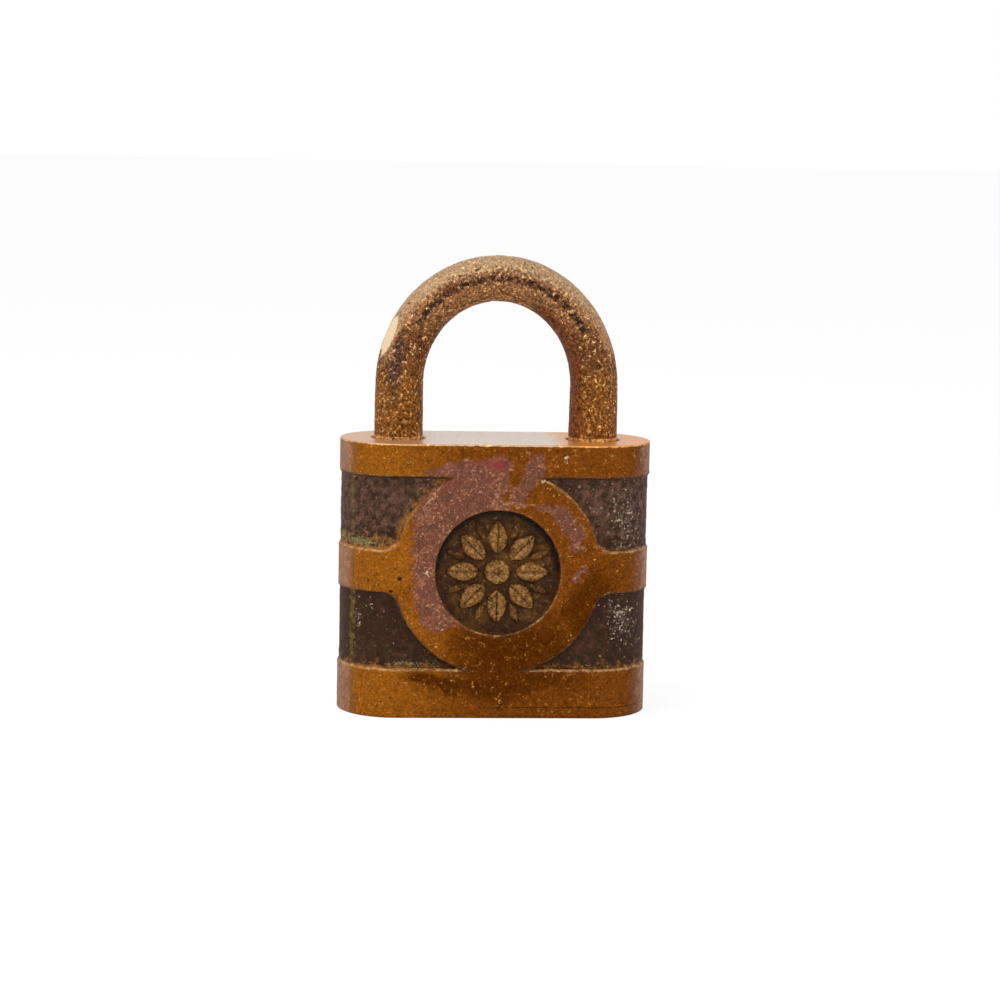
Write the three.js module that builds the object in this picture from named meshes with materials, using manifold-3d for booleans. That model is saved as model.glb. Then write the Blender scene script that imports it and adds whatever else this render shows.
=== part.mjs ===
// A brass pin-tumbler padlock with a round-ended case and a bronze shackle.
// The shackle is down and the bolt is drawn back out of its notch, so the shackle is free to lift.
// Millimetres. +Z is up, the front faces -Y and the origin is the middle of the base.
// The heel leg, which stays in the case, stands at -X and the toe leg at +X.
import * as THREE from "three";
import { mergeVertices } from "three/addons/utils/BufferGeometryUtils.js";
import Module from "manifold-3d";

// Clearances
const fitClearance = 0.3; // around a piece that is set in place
const runningClearance = 0.15; // around a piece that turns or slides
const seamGap = 0.2; // the open line between the case and its bottom plate

// Cylinder: plug, sleeve and pin stacks
const plugRadius = 5.3;
const sleeveWall = 1.25;
const plugFlangeOverlap = 0.45; // how far the plug's front flange reaches under the sleeve
const plugFaceRecess = 0.3; // plug face above the base
const stackCount = 5;
const stackPitch = 4.19;
const firstStackHeight = 7.4;
const cylinderEndWall = 1.3;
const pinRadius = 1.4;
const keyPinLengths = [3.4, 4.2, 3.0, 3.8, 3.4];
const keyPinInset = 0.25; // outer end of a key pin below the plug's surface
const keyPinTip = 0.35; // share of a key pin's radius that stays flat at its cone
const keyPinCone = 0.85; // height of that cone
const driverPinLength = 4.5;
const pinSpringLength = 3.8;
const pinSpringWire = 0.18;
const pinSpringTurns = 4;
const springCoverThickness = 0.9;
const springCoverHalfWidth = 1.95;
const bibleHalfWidth = 3.7; // the bible is the block beside the sleeve that holds the springs
const keywayWidth = 2.1;
const keywayFloor = 4.3; // keyway's far end, from the plug's axis
const keywayRoof = 2.6; // keyway's end on the pins' side
const keywayWard = 0.7; // how far each ward stands into the keyway

// Case
const frontWall = 1.0; // metal left between the cylinder's pocket and the round recess
const medallionDepth = 1.5;
const medallionRadius = 10.3;
const medallionDraft = 0.35;
const caseHeight = 45;
const plateThickness = 1.8;
const panelDepth = 1.0;
const panelDraft = 0.6;
const bottomBandHeight = 7.9;
const middleBandHeight = 6.5;
const middleBandCentre = 24.1;
const topBandHeight = 5.2;
const bossRadius = 16.8;
const bossFillet = 3;
const edgeBreak = 0.4;

// Rosette in the front recess: petals, and small leaves that show between their tips
const petalCount = 8;
const petalInner = 2.9;
const petalOuter = 8.6;
const petalHalfWidth = 1.75;
const leafInner = 5.6;
const leafOuter = 9.3;
const leafHalfWidth = 0.85;
const bellyShare = 0.55; // where along its length a petal or leaf is widest
const reliefHeight = 0.8;
const petalSlope = 0.5;
const leafSlope = 0.35;
const hubRadius = 2.3;
const hubTopRadius = 1.4;
const hubShoulder = 0.3;

// Shackle
const legSpacing = 32;
const shackleRadius = 4.0;
const legRise = 8.8; // straight part of a leg above the case
const bowRise = 17.45; // from the legs' ends to the top of the bow, along the bar's middle
const bowThinning = 0.25; // the bar is thinner by this in radius at the top of the bow
const legChamfer = 1.0;
const toeTipLength = 1.5; // full metal below the toe's notch
const neckCut = 1.25; // the heel's neck is this much thinner in radius
const collarHeight = 3;
const liftClearance = 0.7; // toe tip above the case at full lift

// Cam, its screw, the bolt and the bolt's spring
const camThickness = 1.5;
const camRim = 0.9;
const camTailHalf = 1.25; // half the side of the plug's square tail
const screwHeadHeight = 0.8;
const screwRadius = 0.7;
const screwSlotWidth = 0.4;
const screwHeadMargin = 0.4; // from the screw's head to the path of the peg
const boltTravel = 2.0;
const boltHeight = 6.9;
const boltHalfWidth = 3.7;
const boltBack = 3.4; // how far the bolt reaches behind the plug's axis
const noseLift = 3.2; // nose above the bolt's underside
const noseHeight = 3.2;
const noseLength = 3.5;
const noseHalfWidth = 2.3;
const noseBevel = 1.3;
const noseRestGap = 0.55; // drawn-back nose to the toe leg
const notchRoom = 0.4; // above and below the thrown nose
const notchEndRoom = 0.95; // in front of the thrown nose
const pegRadius = 0.75;
const boltSpringRadius = 1.7;
const boltSpringWire = 0.3;
const boltSpringTurns = 5;
const boltSpringHeight = 3.8; // spring's axis above the bolt's underside
const springBoreDepth = 6;
const slotOverrun = 0.05; // how far the cam's slot runs on past the peg's ends, in radians

// Pins and rivets
const cylinderPinRadius = 1.3;
const cylinderPinOffset = 8.0; // from the plug's axis
const cylinderPinBite = 1.6; // how far it enters the bible
const heelPinRadius = 1.1;
const heelPinBelowTop = 14.5;
const rivetRadius = 1.1;
const rivetHeadRadius = 1.8;
const rivetHeadHeight = 0.9;
const rivetLength = 6;
const rivetSpread = 3.5; // rivets beyond the leg axes
const rivetOffset = 4.2; // rivets in front of and behind the middle

// Facets
const fineSides = 40;
const rodSides = 24;
const smallSides = 16;
const endSteps = 9; // steps in a quarter of the case's round ends
const bowSteps = 24;
const slotSteps = 12;
const overshoot = 1; // how far a cutting form reaches past the metal that it cuts

// The case is as deep as its cylinder and the walls around it need, and its round ends run
// around the shackle's legs.
const plugBoreRadius = plugRadius + runningClearance;
const sleeveRadius = plugBoreRadius + sleeveWall;
const pocketRadius = sleeveRadius + fitClearance;
const caseDepth = 2 * (pocketRadius + frontWall + medallionDepth);
const halfDepth = caseDepth / 2;
const legX = legSpacing / 2;

// Heights of the cylinder and its stacks
const caseBottom = plateThickness + seamGap;
const cylinderBottom = plateThickness + fitClearance;
const chamberRadius = pinRadius + runningClearance;
const lastStackHeight = firstStackHeight + (stackCount - 1) * stackPitch;
const cylinderTop = lastStackHeight + chamberRadius + cylinderEndWall;
const stackHeights = Array.from(
  { length: stackCount },
  (_, i) => firstStackHeight + i * stackPitch,
);

// Reach of one pin stack, from the plug's axis
const driverInner = plugBoreRadius;
const driverOuter = driverInner + driverPinLength;
const springInner = driverOuter + runningClearance;
const springOuter = springInner + pinSpringLength;
const coverInner = springOuter + runningClearance;
const bibleReach = coverInner + springCoverThickness;

// Heights of the cam and the bolt
const plugTop = cylinderTop + runningClearance;
const camBottom = plugTop + fitClearance;
const camTop = camBottom + camThickness;
const screwHeadBottom = camTop + runningClearance;
const screwHeadTop = screwHeadBottom + screwHeadHeight;
const boltBottom = screwHeadTop + fitClearance;
const boltTop = boltBottom + boltHeight;
const noseBottom = boltBottom + noseLift;
const noseTop = noseBottom + noseHeight;
const pocketTop = boltTop + notchRoom;

// The bolt's peg runs in a spiral slot in the cam, a quarter turn for the bolt's whole travel.
const camRadius = sleeveRadius;
const slotHalfWidth = pegRadius + runningClearance;
const pegThrown = camRadius - camRim - slotHalfWidth;
const pegDrawn = pegThrown - boltTravel;
const screwHeadRadius = pegDrawn - pegRadius - runningClearance - screwHeadMargin;
const quarterTurn = Math.PI / 2;

// Places of the bolt's nose and the toe's notch
const noseTip = legX - shackleRadius - noseRestGap;
const boltShoulder = noseTip - noseLength;
const boltSlotEnd = boltShoulder + boltTravel + fitClearance;
const notchDepth = boltTravel - noseRestGap + notchEndRoom;
const notchBottom = noseBottom - notchRoom;
const notchTop = noseTop + notchRoom;
const toeTip = notchBottom - toeTipLength;

// Lift of the shackle, and the heel's collar that meets the heel pin at its end
const liftRange = caseHeight - toeTip + liftClearance;
const legBoreRadius = shackleRadius + fitClearance;
const heelPinHeight = caseHeight - heelPinBelowTop;
const collarTop = heelPinHeight - heelPinRadius - fitClearance - liftRange;
const heelEnd = collarTop - collarHeight;
const neckTop = heelPinHeight + heelPinRadius + 2 * fitClearance;
const neckRadius = shackleRadius - neckCut;
const bowCentre = caseHeight + legRise;

const wasm = await Module();
wasm.setup();

// A closed geometry as a solid that can be joined and cut.
function solid(geometry) {
  const source = geometry.index ? geometry.toNonIndexed() : geometry;
  const bare = new THREE.BufferGeometry();
  bare.setAttribute("position", source.getAttribute("position"));
  const merged = mergeVertices(bare, 1e-4);
  return new wasm.Manifold(
    new wasm.Mesh({
      numProp: 3,
      vertProperties: merged.attributes.position.array,
      triVerts: new Uint32Array(merged.index.array),
    }),
  );
}

// The surface of a solid, with flat facets.
function surface(body) {
  const mesh = body.getMesh();
  const geometry = new THREE.BufferGeometry();
  geometry.setAttribute("position", new THREE.BufferAttribute(mesh.vertProperties, 3));
  geometry.setIndex(new THREE.BufferAttribute(mesh.triVerts, 1));
  const flat = geometry.toNonIndexed();
  flat.computeVertexNormals();
  return flat;
}

function join(...bodies) {
  return bodies.reduce((whole, piece) => whole.add(piece));
}

function cut(body, ...tools) {
  return tools.reduce((rest, tool) => rest.subtract(tool), body);
}

// A closed skin through rings of points that all have the same count.
function loft(rings) {
  const count = rings[0].length;
  const points = rings.flat();
  const faces = [];
  for (let r = 0; r + 1 < rings.length; r++) {
    for (let i = 0; i < count; i++) {
      const next = (i + 1) % count;
      const a = r * count + i;
      const b = r * count + next;
      faces.push(a, b, b + count);
      faces.push(a, b + count, a + count);
    }
  }
  const last = (rings.length - 1) * count;
  for (let i = 1; i + 1 < count; i++) {
    faces.push(0, i + 1, i);
    faces.push(last, last + i, last + i + 1);
  }
  const geometry = new THREE.BufferGeometry().setFromPoints(points);
  geometry.setIndex(faces);
  return geometry;
}

// A flat shape pulled up from one height to another.
function prism(shape, bottom, top, curveSegments = 12) {
  const options = { depth: top - bottom, bevelEnabled: false, curveSegments };
  return new THREE.ExtrudeGeometry(shape, options).translate(0, 0, bottom);
}

// A shape drawn in X and Z, pulled through in Y around the middle of the case.
function through(shape, halfWidth, curveSegments = 12) {
  const options = { depth: 2 * halfWidth, bevelEnabled: false, curveSegments };
  return new THREE.ExtrudeGeometry(shape, options)
    .rotateX(Math.PI / 2)
    .translate(0, halfWidth, 0);
}

// A box from its lowest to its highest corner.
function block(low, high) {
  const size = high.map((value, i) => value - low[i]);
  const middle = high.map((value, i) => (value + low[i]) / 2);
  return new THREE.BoxGeometry(...size).translate(...middle);
}

// An outline of radius and height pairs, from the lower end to the upper one, turned about Z.
function turned(outline, sides) {
  const points = outline.map(([radius, height]) => new THREE.Vector2(radius, height));
  return new THREE.LatheGeometry(points, sides).rotateX(Math.PI / 2);
}

// A plain round bar about Z.
function bar(radius, bottom, top, sides) {
  const outline = [[0, bottom], [radius, bottom], [radius, top], [0, top]];
  return turned(outline, sides);
}

// The same bar laid along X or Y.
function barAlongX(radius, start, end, sides) {
  return bar(radius, start, end, sides).rotateY(Math.PI / 2);
}

function barAlongY(radius, start, end, sides) {
  return bar(radius, -end, -start, sides).rotateX(Math.PI / 2);
}

// A coil spring about Z from one height to the other.
class Helix extends THREE.Curve {
  constructor(radius, bottom, top, turns) {
    super();
    Object.assign(this, { radius, bottom, top, turns });
  }

  getPoint(t, target = new THREE.Vector3()) {
    const angle = 2 * Math.PI * this.turns * t;
    const height = this.bottom + (this.top - this.bottom) * t;
    return target.set(this.radius * Math.cos(angle), this.radius * Math.sin(angle), height);
  }
}

function coilSpring(radius, wire, bottom, top, turns, stepsPerTurn) {
  const section = new THREE.Shape().absarc(0, 0, wire, 0, 2 * Math.PI);
  const path = new Helix(radius, bottom + wire, top - wire, turns);
  const options = { steps: turns * stepsPerTurn, extrudePath: path, curveSegments: 3 };
  return new THREE.ExtrudeGeometry(section, { ...options, bevelEnabled: false });
}

const agedBrass = new THREE.MeshStandardMaterial({
  color: "#8a6430",
  roughness: 0.45,
  metalness: 0.9,
});
const bronze = new THREE.MeshStandardMaterial({
  color: "#6b4c2a",
  roughness: 0.6,
  metalness: 0.8,
});
const cleanBrass = new THREE.MeshStandardMaterial({
  color: "#b08d4a",
  roughness: 0.4,
  metalness: 0.9,
});
const springSteel = new THREE.MeshStandardMaterial({
  color: "#7c7a75",
  roughness: 0.4,
  metalness: 0.9,
});

function piece(name, geometry, material) {
  const mesh = new THREE.Mesh(geometry, material.clone());
  mesh.name = name;
  return mesh;
}

// One level of the case's outline: a stadium whose front and back are moved in by inset, which
// leaves its width, and which is drawn in all round by shrink at a broken edge.
function caseLevel(height, inset = 0, shrink = 0) {
  const radius = halfDepth - shrink;
  const start = Math.asin(inset / radius);
  const corner = (sideX, sideY, step) => {
    const angle = start + ((quarterTurn - start) * step) / endSteps;
    const x = sideX * (legX + radius * Math.cos(angle));
    const y = sideY * (radius * Math.sin(angle) - inset);
    return new THREE.Vector3(x, y, height);
  };
  const level = [];
  for (let i = 0; i <= endSteps; i++) level.push(corner(1, 1, i));
  for (let i = endSteps; i >= 0; i--) level.push(corner(-1, 1, i));
  for (let i = 1; i <= endSteps; i++) level.push(corner(-1, -1, i));
  for (let i = endSteps; i > 0; i--) level.push(corner(1, -1, i));
  return level;
}

// Face of the boss and of the middle band's roots, drawn in X and Z.
function bossFace() {
  const rise = middleBandHeight / 2 + bossFillet;
  const filletX = Math.sqrt((bossRadius + bossFillet) ** 2 - rise ** 2);
  const touch = Math.atan2(rise, filletX);
  const low = middleBandCentre - rise;
  const high = middleBandCentre + rise;
  const face = new THREE.Shape();
  face.absarc(0, middleBandCentre, bossRadius, touch, Math.PI - touch);
  face.absarc(-filletX, high, bossFillet, -touch, -quarterTurn, true);
  face.absarc(-filletX, low, bossFillet, quarterTurn, touch, true);
  face.absarc(0, middleBandCentre, bossRadius, Math.PI + touch, 2 * Math.PI - touch);
  face.absarc(filletX, low, bossFillet, Math.PI - touch, quarterTurn, true);
  face.absarc(filletX, high, bossFillet, -quarterTurn, touch - Math.PI, true);
  return face;
}

// The boss and the band's roots stand up from both panel floors with drafted walls.
function boss() {
  const options = {
    depth: caseDepth - 2 * panelDepth,
    bevelThickness: panelDepth,
    bevelSize: panelDraft,
    bevelSegments: 1,
    curveSegments: 14,
  };
  const geometry = new THREE.ExtrudeGeometry(bossFace(), options)
    .rotateX(Math.PI / 2)
    .translate(0, options.depth / 2, 0);
  return solid(geometry);
}

// A round recess in the front face, with a slightly sloping wall.
function medallionRecess() {
  const outline = [
    [0, halfDepth - medallionDepth],
    [medallionRadius - medallionDraft, halfDepth - medallionDepth],
    [medallionRadius, halfDepth],
    [medallionRadius, halfDepth + overshoot],
    [0, halfDepth + overshoot],
  ];
  return turned(outline, fineSides).rotateX(Math.PI / 2).translate(0, 0, middleBandCentre);
}

// A pointed leaf along X, its edges sloping up to a flat top.
function leaf(inner, outer, halfWidth, slope) {
  const root = fitClearance;
  const belly = inner + (outer - inner) * bellyShare;
  const outline = new THREE.Shape();
  outline.moveTo(inner, 0);
  outline.quadraticCurveTo(belly, 2 * halfWidth, outer, 0);
  outline.quadraticCurveTo(belly, -2 * halfWidth, inner, 0);
  const options = {
    depth: root + reliefHeight - slope,
    bevelThickness: slope,
    bevelSize: slope,
    bevelOffset: -slope,
    bevelSegments: 1,
    curveSegments: 5,
  };
  return new THREE.ExtrudeGeometry(outline, options).translate(0, 0, -root);
}

// Petals, leaves and a hub in low relief on the floor of the front recess.
function rosette() {
  const root = fitClearance;
  const hub = [
    [0, -root],
    [hubRadius, -root],
    [hubRadius, hubShoulder],
    [hubTopRadius, reliefHeight],
    [0, reliefHeight],
  ];
  const pieces = [solid(turned(hub, smallSides))];
  for (let i = 0; i < petalCount; i++) {
    const step = (2 * Math.PI) / petalCount;
    const petal = leaf(petalInner, petalOuter, petalHalfWidth, petalSlope);
    const small = leaf(leafInner, leafOuter, leafHalfWidth, leafSlope);
    pieces.push(solid(petal.rotateZ(i * step)), solid(small.rotateZ((i + 0.5) * step)));
  }
  return pieces.map((body) =>
    body
      .rotate([90, 0, 0])
      .translate([0, medallionDepth - halfDepth, middleBandCentre]),
  );
}

// The cylinder's pocket, open at the bottom, with the bolt's guide above it.
function mechanismPocket() {
  const low = plateThickness;
  const roundPocket = bar(pocketRadius, low, pocketTop, fineSides);
  const bibleSlot = block(
    [0, -bibleHalfWidth - fitClearance, low],
    [bibleReach + fitClearance, bibleHalfWidth + fitClearance, camBottom - runningClearance],
  );
  const boltGuide = block(
    [0, -boltHalfWidth - fitClearance, low],
    [boltSlotEnd, boltHalfWidth + fitClearance, pocketTop],
  );
  const boltWindow = block(
    [0, -noseHalfWidth - fitClearance, noseBottom - fitClearance],
    [legX, noseHalfWidth + fitClearance, noseTop + fitClearance],
  );
  return [roundPocket, bibleSlot, boltGuide, boltWindow].map(solid);
}

// A leg's bore, opened a little at its mouth.
function legBore(x, bottom) {
  const mouth = legBoreRadius + edgeBreak;
  const outline = [
    [0, bottom],
    [legBoreRadius, bottom],
    [legBoreRadius, caseHeight - edgeBreak],
    [mouth, caseHeight],
    [mouth, caseHeight + overshoot],
    [0, caseHeight + overshoot],
  ];
  return solid(turned(outline, rodSides).translate(x, 0, 0));
}

const rivetPlaces = [-1, 1].flatMap((sideX) =>
  [-1, 1].map((sideY) => [sideX * (legX + rivetSpread), sideY * rivetOffset]),
);

// A rivet's outline from its countersunk head at the base upwards, or that of its hole.
function rivetOutline(clearance) {
  return [
    [0, 0],
    [rivetHeadRadius + clearance, 0],
    [rivetRadius + clearance, rivetHeadHeight],
    [rivetRadius + clearance, rivetLength + clearance],
    [0, rivetLength + clearance],
  ];
}

function rivetHoles() {
  return rivetPlaces.map(([x, y]) =>
    solid(turned(rivetOutline(runningClearance), smallSides).translate(x, y, 0)),
  );
}

// The pin enters the bible between the second and the third stack.
const cylinderPinHeight = firstStackHeight + 1.5 * stackPitch;
const cylinderPinEnd = -bibleHalfWidth + cylinderPinBite;
const heelPinReach = legX - neckRadius - fitClearance;

function cylinderPinHole() {
  const radius = cylinderPinRadius + runningClearance;
  const hole = barAlongY(
    radius,
    -halfDepth - overshoot,
    cylinderPinEnd + fitClearance,
    smallSides,
  );
  return solid(hole.translate(cylinderPinOffset, 0, cylinderPinHeight));
}

function heelPinHole() {
  const radius = heelPinRadius + runningClearance;
  const hole = barAlongX(radius, -legX, 0, smallSides);
  return solid(hole.translate(0, 0, heelPinHeight));
}

function makeCase() {
  const panelLow = bottomBandHeight + panelDraft;
  const middleLow = middleBandCentre - middleBandHeight / 2;
  const middleHigh = middleBandCentre + middleBandHeight / 2;
  const topLow = caseHeight - topBandHeight;
  const banded = loft([
    caseLevel(caseBottom),
    caseLevel(bottomBandHeight),
    caseLevel(panelLow, panelDepth),
    caseLevel(middleLow - panelDraft, panelDepth),
    caseLevel(middleLow),
    caseLevel(middleHigh),
    caseLevel(middleHigh + panelDraft, panelDepth),
    caseLevel(topLow - panelDraft, panelDepth),
    caseLevel(topLow),
    caseLevel(caseHeight - edgeBreak),
    caseLevel(caseHeight, 0, edgeBreak),
  ]);
  const full = loft([
    caseLevel(caseBottom),
    caseLevel(caseHeight - edgeBreak),
    caseLevel(caseHeight, 0, edgeBreak),
  ]);
  const recess = medallionRecess();
  const outside = cut(
    join(solid(banded), boss().intersect(solid(full))),
    solid(recess),
    solid(recess.clone().rotateZ(Math.PI)),
  );
  const body = cut(
    join(outside, ...rosette()),
    ...mechanismPocket(),
    legBore(-legX, heelEnd - fitClearance),
    legBore(legX, toeTip - fitClearance),
    cylinderPinHole(),
    heelPinHole(),
    ...rivetHoles(),
  );
  return piece("case", surface(body), agedBrass);
}

function makeBottomPlate() {
  const plate = loft([
    caseLevel(0, 0, edgeBreak),
    caseLevel(edgeBreak),
    caseLevel(plateThickness),
  ]);
  const flangeHole = bar(
    plugBoreRadius + plugFlangeOverlap + runningClearance,
    -overshoot,
    plateThickness + overshoot,
    fineSides,
  );
  const body = cut(solid(plate), solid(flangeHole), ...rivetHoles());
  return piece("bottom_plate", surface(body), agedBrass);
}

function makeRivet(number, x, y) {
  const rivet = piece(`plate_rivet_${number}`, turned(rivetOutline(0), smallSides), agedBrass);
  rivet.position.set(x, y, 0);
  return rivet;
}

function makeCylinderPin() {
  const pin = barAlongY(cylinderPinRadius, -halfDepth, cylinderPinEnd, smallSides);
  const mesh = piece("cylinder_pin", pin, bronze);
  mesh.position.set(cylinderPinOffset, 0, cylinderPinHeight);
  return mesh;
}

function makeHeelPin() {
  const pin = barAlongX(heelPinRadius, -heelPinReach, -pocketRadius - fitClearance, smallSides);
  const mesh = piece("heel_pin", pin, springSteel);
  mesh.position.z = heelPinHeight;
  return mesh;
}

// The shackle is one bent bar: rings up the heel leg, round the bow and down the toe leg. Its bow
// is a little higher than a half circle.
function makeShackle() {
  const ring = (centre, outward, radius) => {
    const points = [];
    for (let i = 0; i < rodSides; i++) {
      const angle = (2 * Math.PI * i) / rodSides;
      const point = centre.clone().addScaledVector(outward, radius * Math.cos(angle));
      point.y += radius * Math.sin(angle);
      points.push(point);
    }
    return points;
  };
  const legRing = (side, height, radius) =>
    ring(new THREE.Vector3(side * legX, 0, height), new THREE.Vector3(side, 0, 0), radius);
  const rings = [
    legRing(-1, heelEnd, shackleRadius - edgeBreak),
    legRing(-1, heelEnd + edgeBreak, shackleRadius),
    legRing(-1, collarTop - edgeBreak, shackleRadius),
    legRing(-1, collarTop, neckRadius),
    legRing(-1, neckTop, neckRadius),
    legRing(-1, neckTop + edgeBreak, shackleRadius),
  ];
  for (let i = 0; i <= bowSteps; i++) {
    const angle = Math.PI * (1 - i / bowSteps);
    const across = Math.cos(angle);
    const above = Math.sin(angle);
    const centre = new THREE.Vector3(legX * across, 0, bowCentre + bowRise * above);
    const outward = new THREE.Vector3(across / legX, 0, above / bowRise).normalize();
    rings.push(ring(centre, outward, shackleRadius - bowThinning * above));
  }
  rings.push(legRing(1, toeTip + legChamfer, shackleRadius));
  rings.push(legRing(1, toeTip, shackleRadius - legChamfer));
  rings.reverse();
  const notch = block(
    [legX - 2 * shackleRadius, -2 * shackleRadius, notchBottom],
    [legX - shackleRadius + notchDepth, 2 * shackleRadius, notchTop],
  );
  const body = cut(solid(loft(rings)), solid(notch));
  return piece("shackle", surface(body), bronze);
}

// The sleeve around the plug and the bible beside it, in one piece.
function makeCylinderShell() {
  const outside = join(
    solid(bar(sleeveRadius, cylinderBottom, cylinderTop, fineSides)),
    solid(block([0, -bibleHalfWidth, cylinderBottom], [bibleReach, bibleHalfWidth, cylinderTop])),
  );
  const plugBore = solid(
    bar(plugBoreRadius, cylinderBottom - overshoot, cylinderTop + overshoot, fineSides),
  );
  const chambers = stackHeights.map((height) =>
    solid(barAlongX(chamberRadius, 0, bibleReach + overshoot, smallSides).translate(0, 0, height)),
  );
  const coverSeat = solid(
    block(
      [
        springOuter,
        -springCoverHalfWidth - runningClearance,
        firstStackHeight - chamberRadius - runningClearance,
      ],
      [
        bibleReach + overshoot,
        springCoverHalfWidth + runningClearance,
        cylinderTop + overshoot,
      ],
    ),
  );
  const body = cut(outside, plugBore, ...chambers, coverSeat, cylinderPinHole());
  return piece("cylinder_shell", surface(body), cleanBrass);
}

// The strip that closes the spring chambers.
function makeSpringCover() {
  const cover = block(
    [coverInner, -springCoverHalfWidth, firstStackHeight - chamberRadius],
    [bibleReach, springCoverHalfWidth, cylinderTop],
  );
  return piece("spring_cover", cover, cleanBrass);
}

function makeDriverPin(number, height) {
  const chamfer = runningClearance;
  const outline = [
    [0, driverInner],
    [pinRadius - chamfer, driverInner],
    [pinRadius, driverInner + chamfer],
    [pinRadius, driverOuter - chamfer],
    [pinRadius - chamfer, driverOuter],
    [0, driverOuter],
  ];
  const pin = piece(`driver_pin_${number}`, turned(outline, smallSides), cleanBrass);
  pin.rotation.y = quarterTurn;
  pin.position.z = height;
  return pin;
}

function makePinSpring(number, height) {
  const radius = pinRadius - fitClearance - pinSpringWire;
  const coil = coilSpring(radius, pinSpringWire, springInner, springOuter, pinSpringTurns, 9);
  const spring = piece(`pin_spring_${number}`, coil, springSteel);
  spring.rotation.y = quarterTurn;
  spring.position.z = height;
  return spring;
}

// The plug is drawn with its pins towards +X, which is where it stands when the padlock is locked.
function makePlug() {
  const flangeRadius = plugBoreRadius + plugFlangeOverlap;
  const barrel = turned(
    [
      [0, plugFaceRecess],
      [flangeRadius, plugFaceRecess],
      [flangeRadius, plateThickness],
      [plugRadius, plateThickness],
      [plugRadius, plugTop],
      [0, plugTop],
    ],
    fineSides,
  );
  const tail = block(
    [-camTailHalf, -camTailHalf, plugTop - overshoot],
    [camTailHalf, camTailHalf, camTop - runningClearance],
  );
  const chambers = stackHeights.map((height) =>
    solid(
      barAlongX(chamberRadius, -keywayWidth / 4, plugRadius + overshoot, smallSides)
        .translate(0, 0, height),
    ),
  );
  const screwHole = bar(
    screwRadius + runningClearance,
    plugTop - screwRadius - runningClearance,
    camTop,
    smallSides,
  );
  const keyway = prism(keywayShape(), -overshoot, lastStackHeight + chamberRadius);
  const body = cut(
    join(solid(barrel), solid(tail)),
    solid(keyway),
    ...chambers,
    solid(screwHole),
  );
  return piece("plug", surface(body), cleanBrass);
}

// The keyway's section, with one ward on each side.
function keywayShape() {
  const half = keywayWidth / 2;
  const length = keywayFloor + keywayRoof;
  const at = (share) => -keywayFloor + share * length;
  const shape = new THREE.Shape();
  shape.moveTo(at(0), -half);
  shape.lineTo(at(0.2), -half);
  shape.lineTo(at(0.28), -half + keywayWard);
  shape.lineTo(at(0.42), -half + keywayWard);
  shape.lineTo(at(0.5), -half);
  shape.lineTo(at(1), -half);
  shape.lineTo(at(1), half);
  shape.lineTo(at(0.78), half);
  shape.lineTo(at(0.7), half - keywayWard);
  shape.lineTo(at(0.56), half - keywayWard);
  shape.lineTo(at(0.48), half);
  shape.lineTo(at(0), half);
  shape.closePath();
  return shape;
}

// A key pin has a flat outer end at the plug's surface and a cone on its inner end.
function makeKeyPin(number, height) {
  const outer = plugRadius - keyPinInset;
  const inner = outer - keyPinLengths[(number - 1) % keyPinLengths.length];
  const outline = [
    [0, inner],
    [pinRadius * keyPinTip, inner],
    [pinRadius, inner + keyPinCone],
    [pinRadius, outer - runningClearance],
    [pinRadius - runningClearance, outer],
    [0, outer],
  ];
  const pin = piece(`key_pin_${number}`, turned(outline, smallSides), cleanBrass);
  pin.rotation.y = quarterTurn;
  pin.position.z = height;
  return pin;
}

// The cam's slot runs from the drawn-back peg, a quarter turn behind, to the thrown one.
function spiralSlot() {
  const side = (offset) => {
    const points = [];
    for (let i = 0; i <= slotSteps; i++) {
      const share = i / slotSteps;
      const angle = -quarterTurn - slotOverrun + share * (quarterTurn + 2 * slotOverrun);
      const radius = pegThrown + (boltTravel * angle) / quarterTurn + offset;
      points.push(new THREE.Vector2(radius * Math.cos(angle), radius * Math.sin(angle)));
    }
    return points;
  };
  const outer = side(slotHalfWidth);
  const inner = side(-slotHalfWidth).reverse();
  const middle = [
    outer[0].clone().add(inner[slotSteps]),
    outer[slotSteps].clone().add(inner[0]),
  ];
  const low = camBottom - overshoot;
  const high = camTop + overshoot;
  const ends = middle.map((sum) =>
    bar(slotHalfWidth, low, high, smallSides).translate(sum.x / 2, sum.y / 2, 0),
  );
  const run = prism(new THREE.Shape([...outer, ...inner]), low, high);
  return join(...[run, ...ends].map(solid));
}

function makeCam() {
  const hole = camTailHalf + runningClearance;
  const tailHole = block(
    [-hole, -hole, camBottom - overshoot],
    [hole, hole, camTop + overshoot],
  );
  const disc = bar(camRadius, camBottom, camTop, fineSides);
  return piece("cam", surface(cut(solid(disc), solid(tailHole), spiralSlot())), bronze);
}

function makeCamScrew() {
  const outline = [
    [0, plugTop - screwRadius],
    [screwRadius, plugTop - screwRadius],
    [screwRadius, screwHeadBottom],
    [screwHeadRadius, screwHeadBottom],
    [screwHeadRadius, screwHeadTop],
    [0, screwHeadTop],
  ];
  const slot = block(
    [-screwHeadRadius - overshoot, -screwSlotWidth / 2, screwHeadTop - screwHeadHeight / 2],
    [screwHeadRadius + overshoot, screwSlotWidth / 2, screwHeadTop + overshoot],
  );
  const body = cut(solid(turned(outline, smallSides)), solid(slot));
  return piece("cam_screw", surface(body), springSteel);
}

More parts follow.
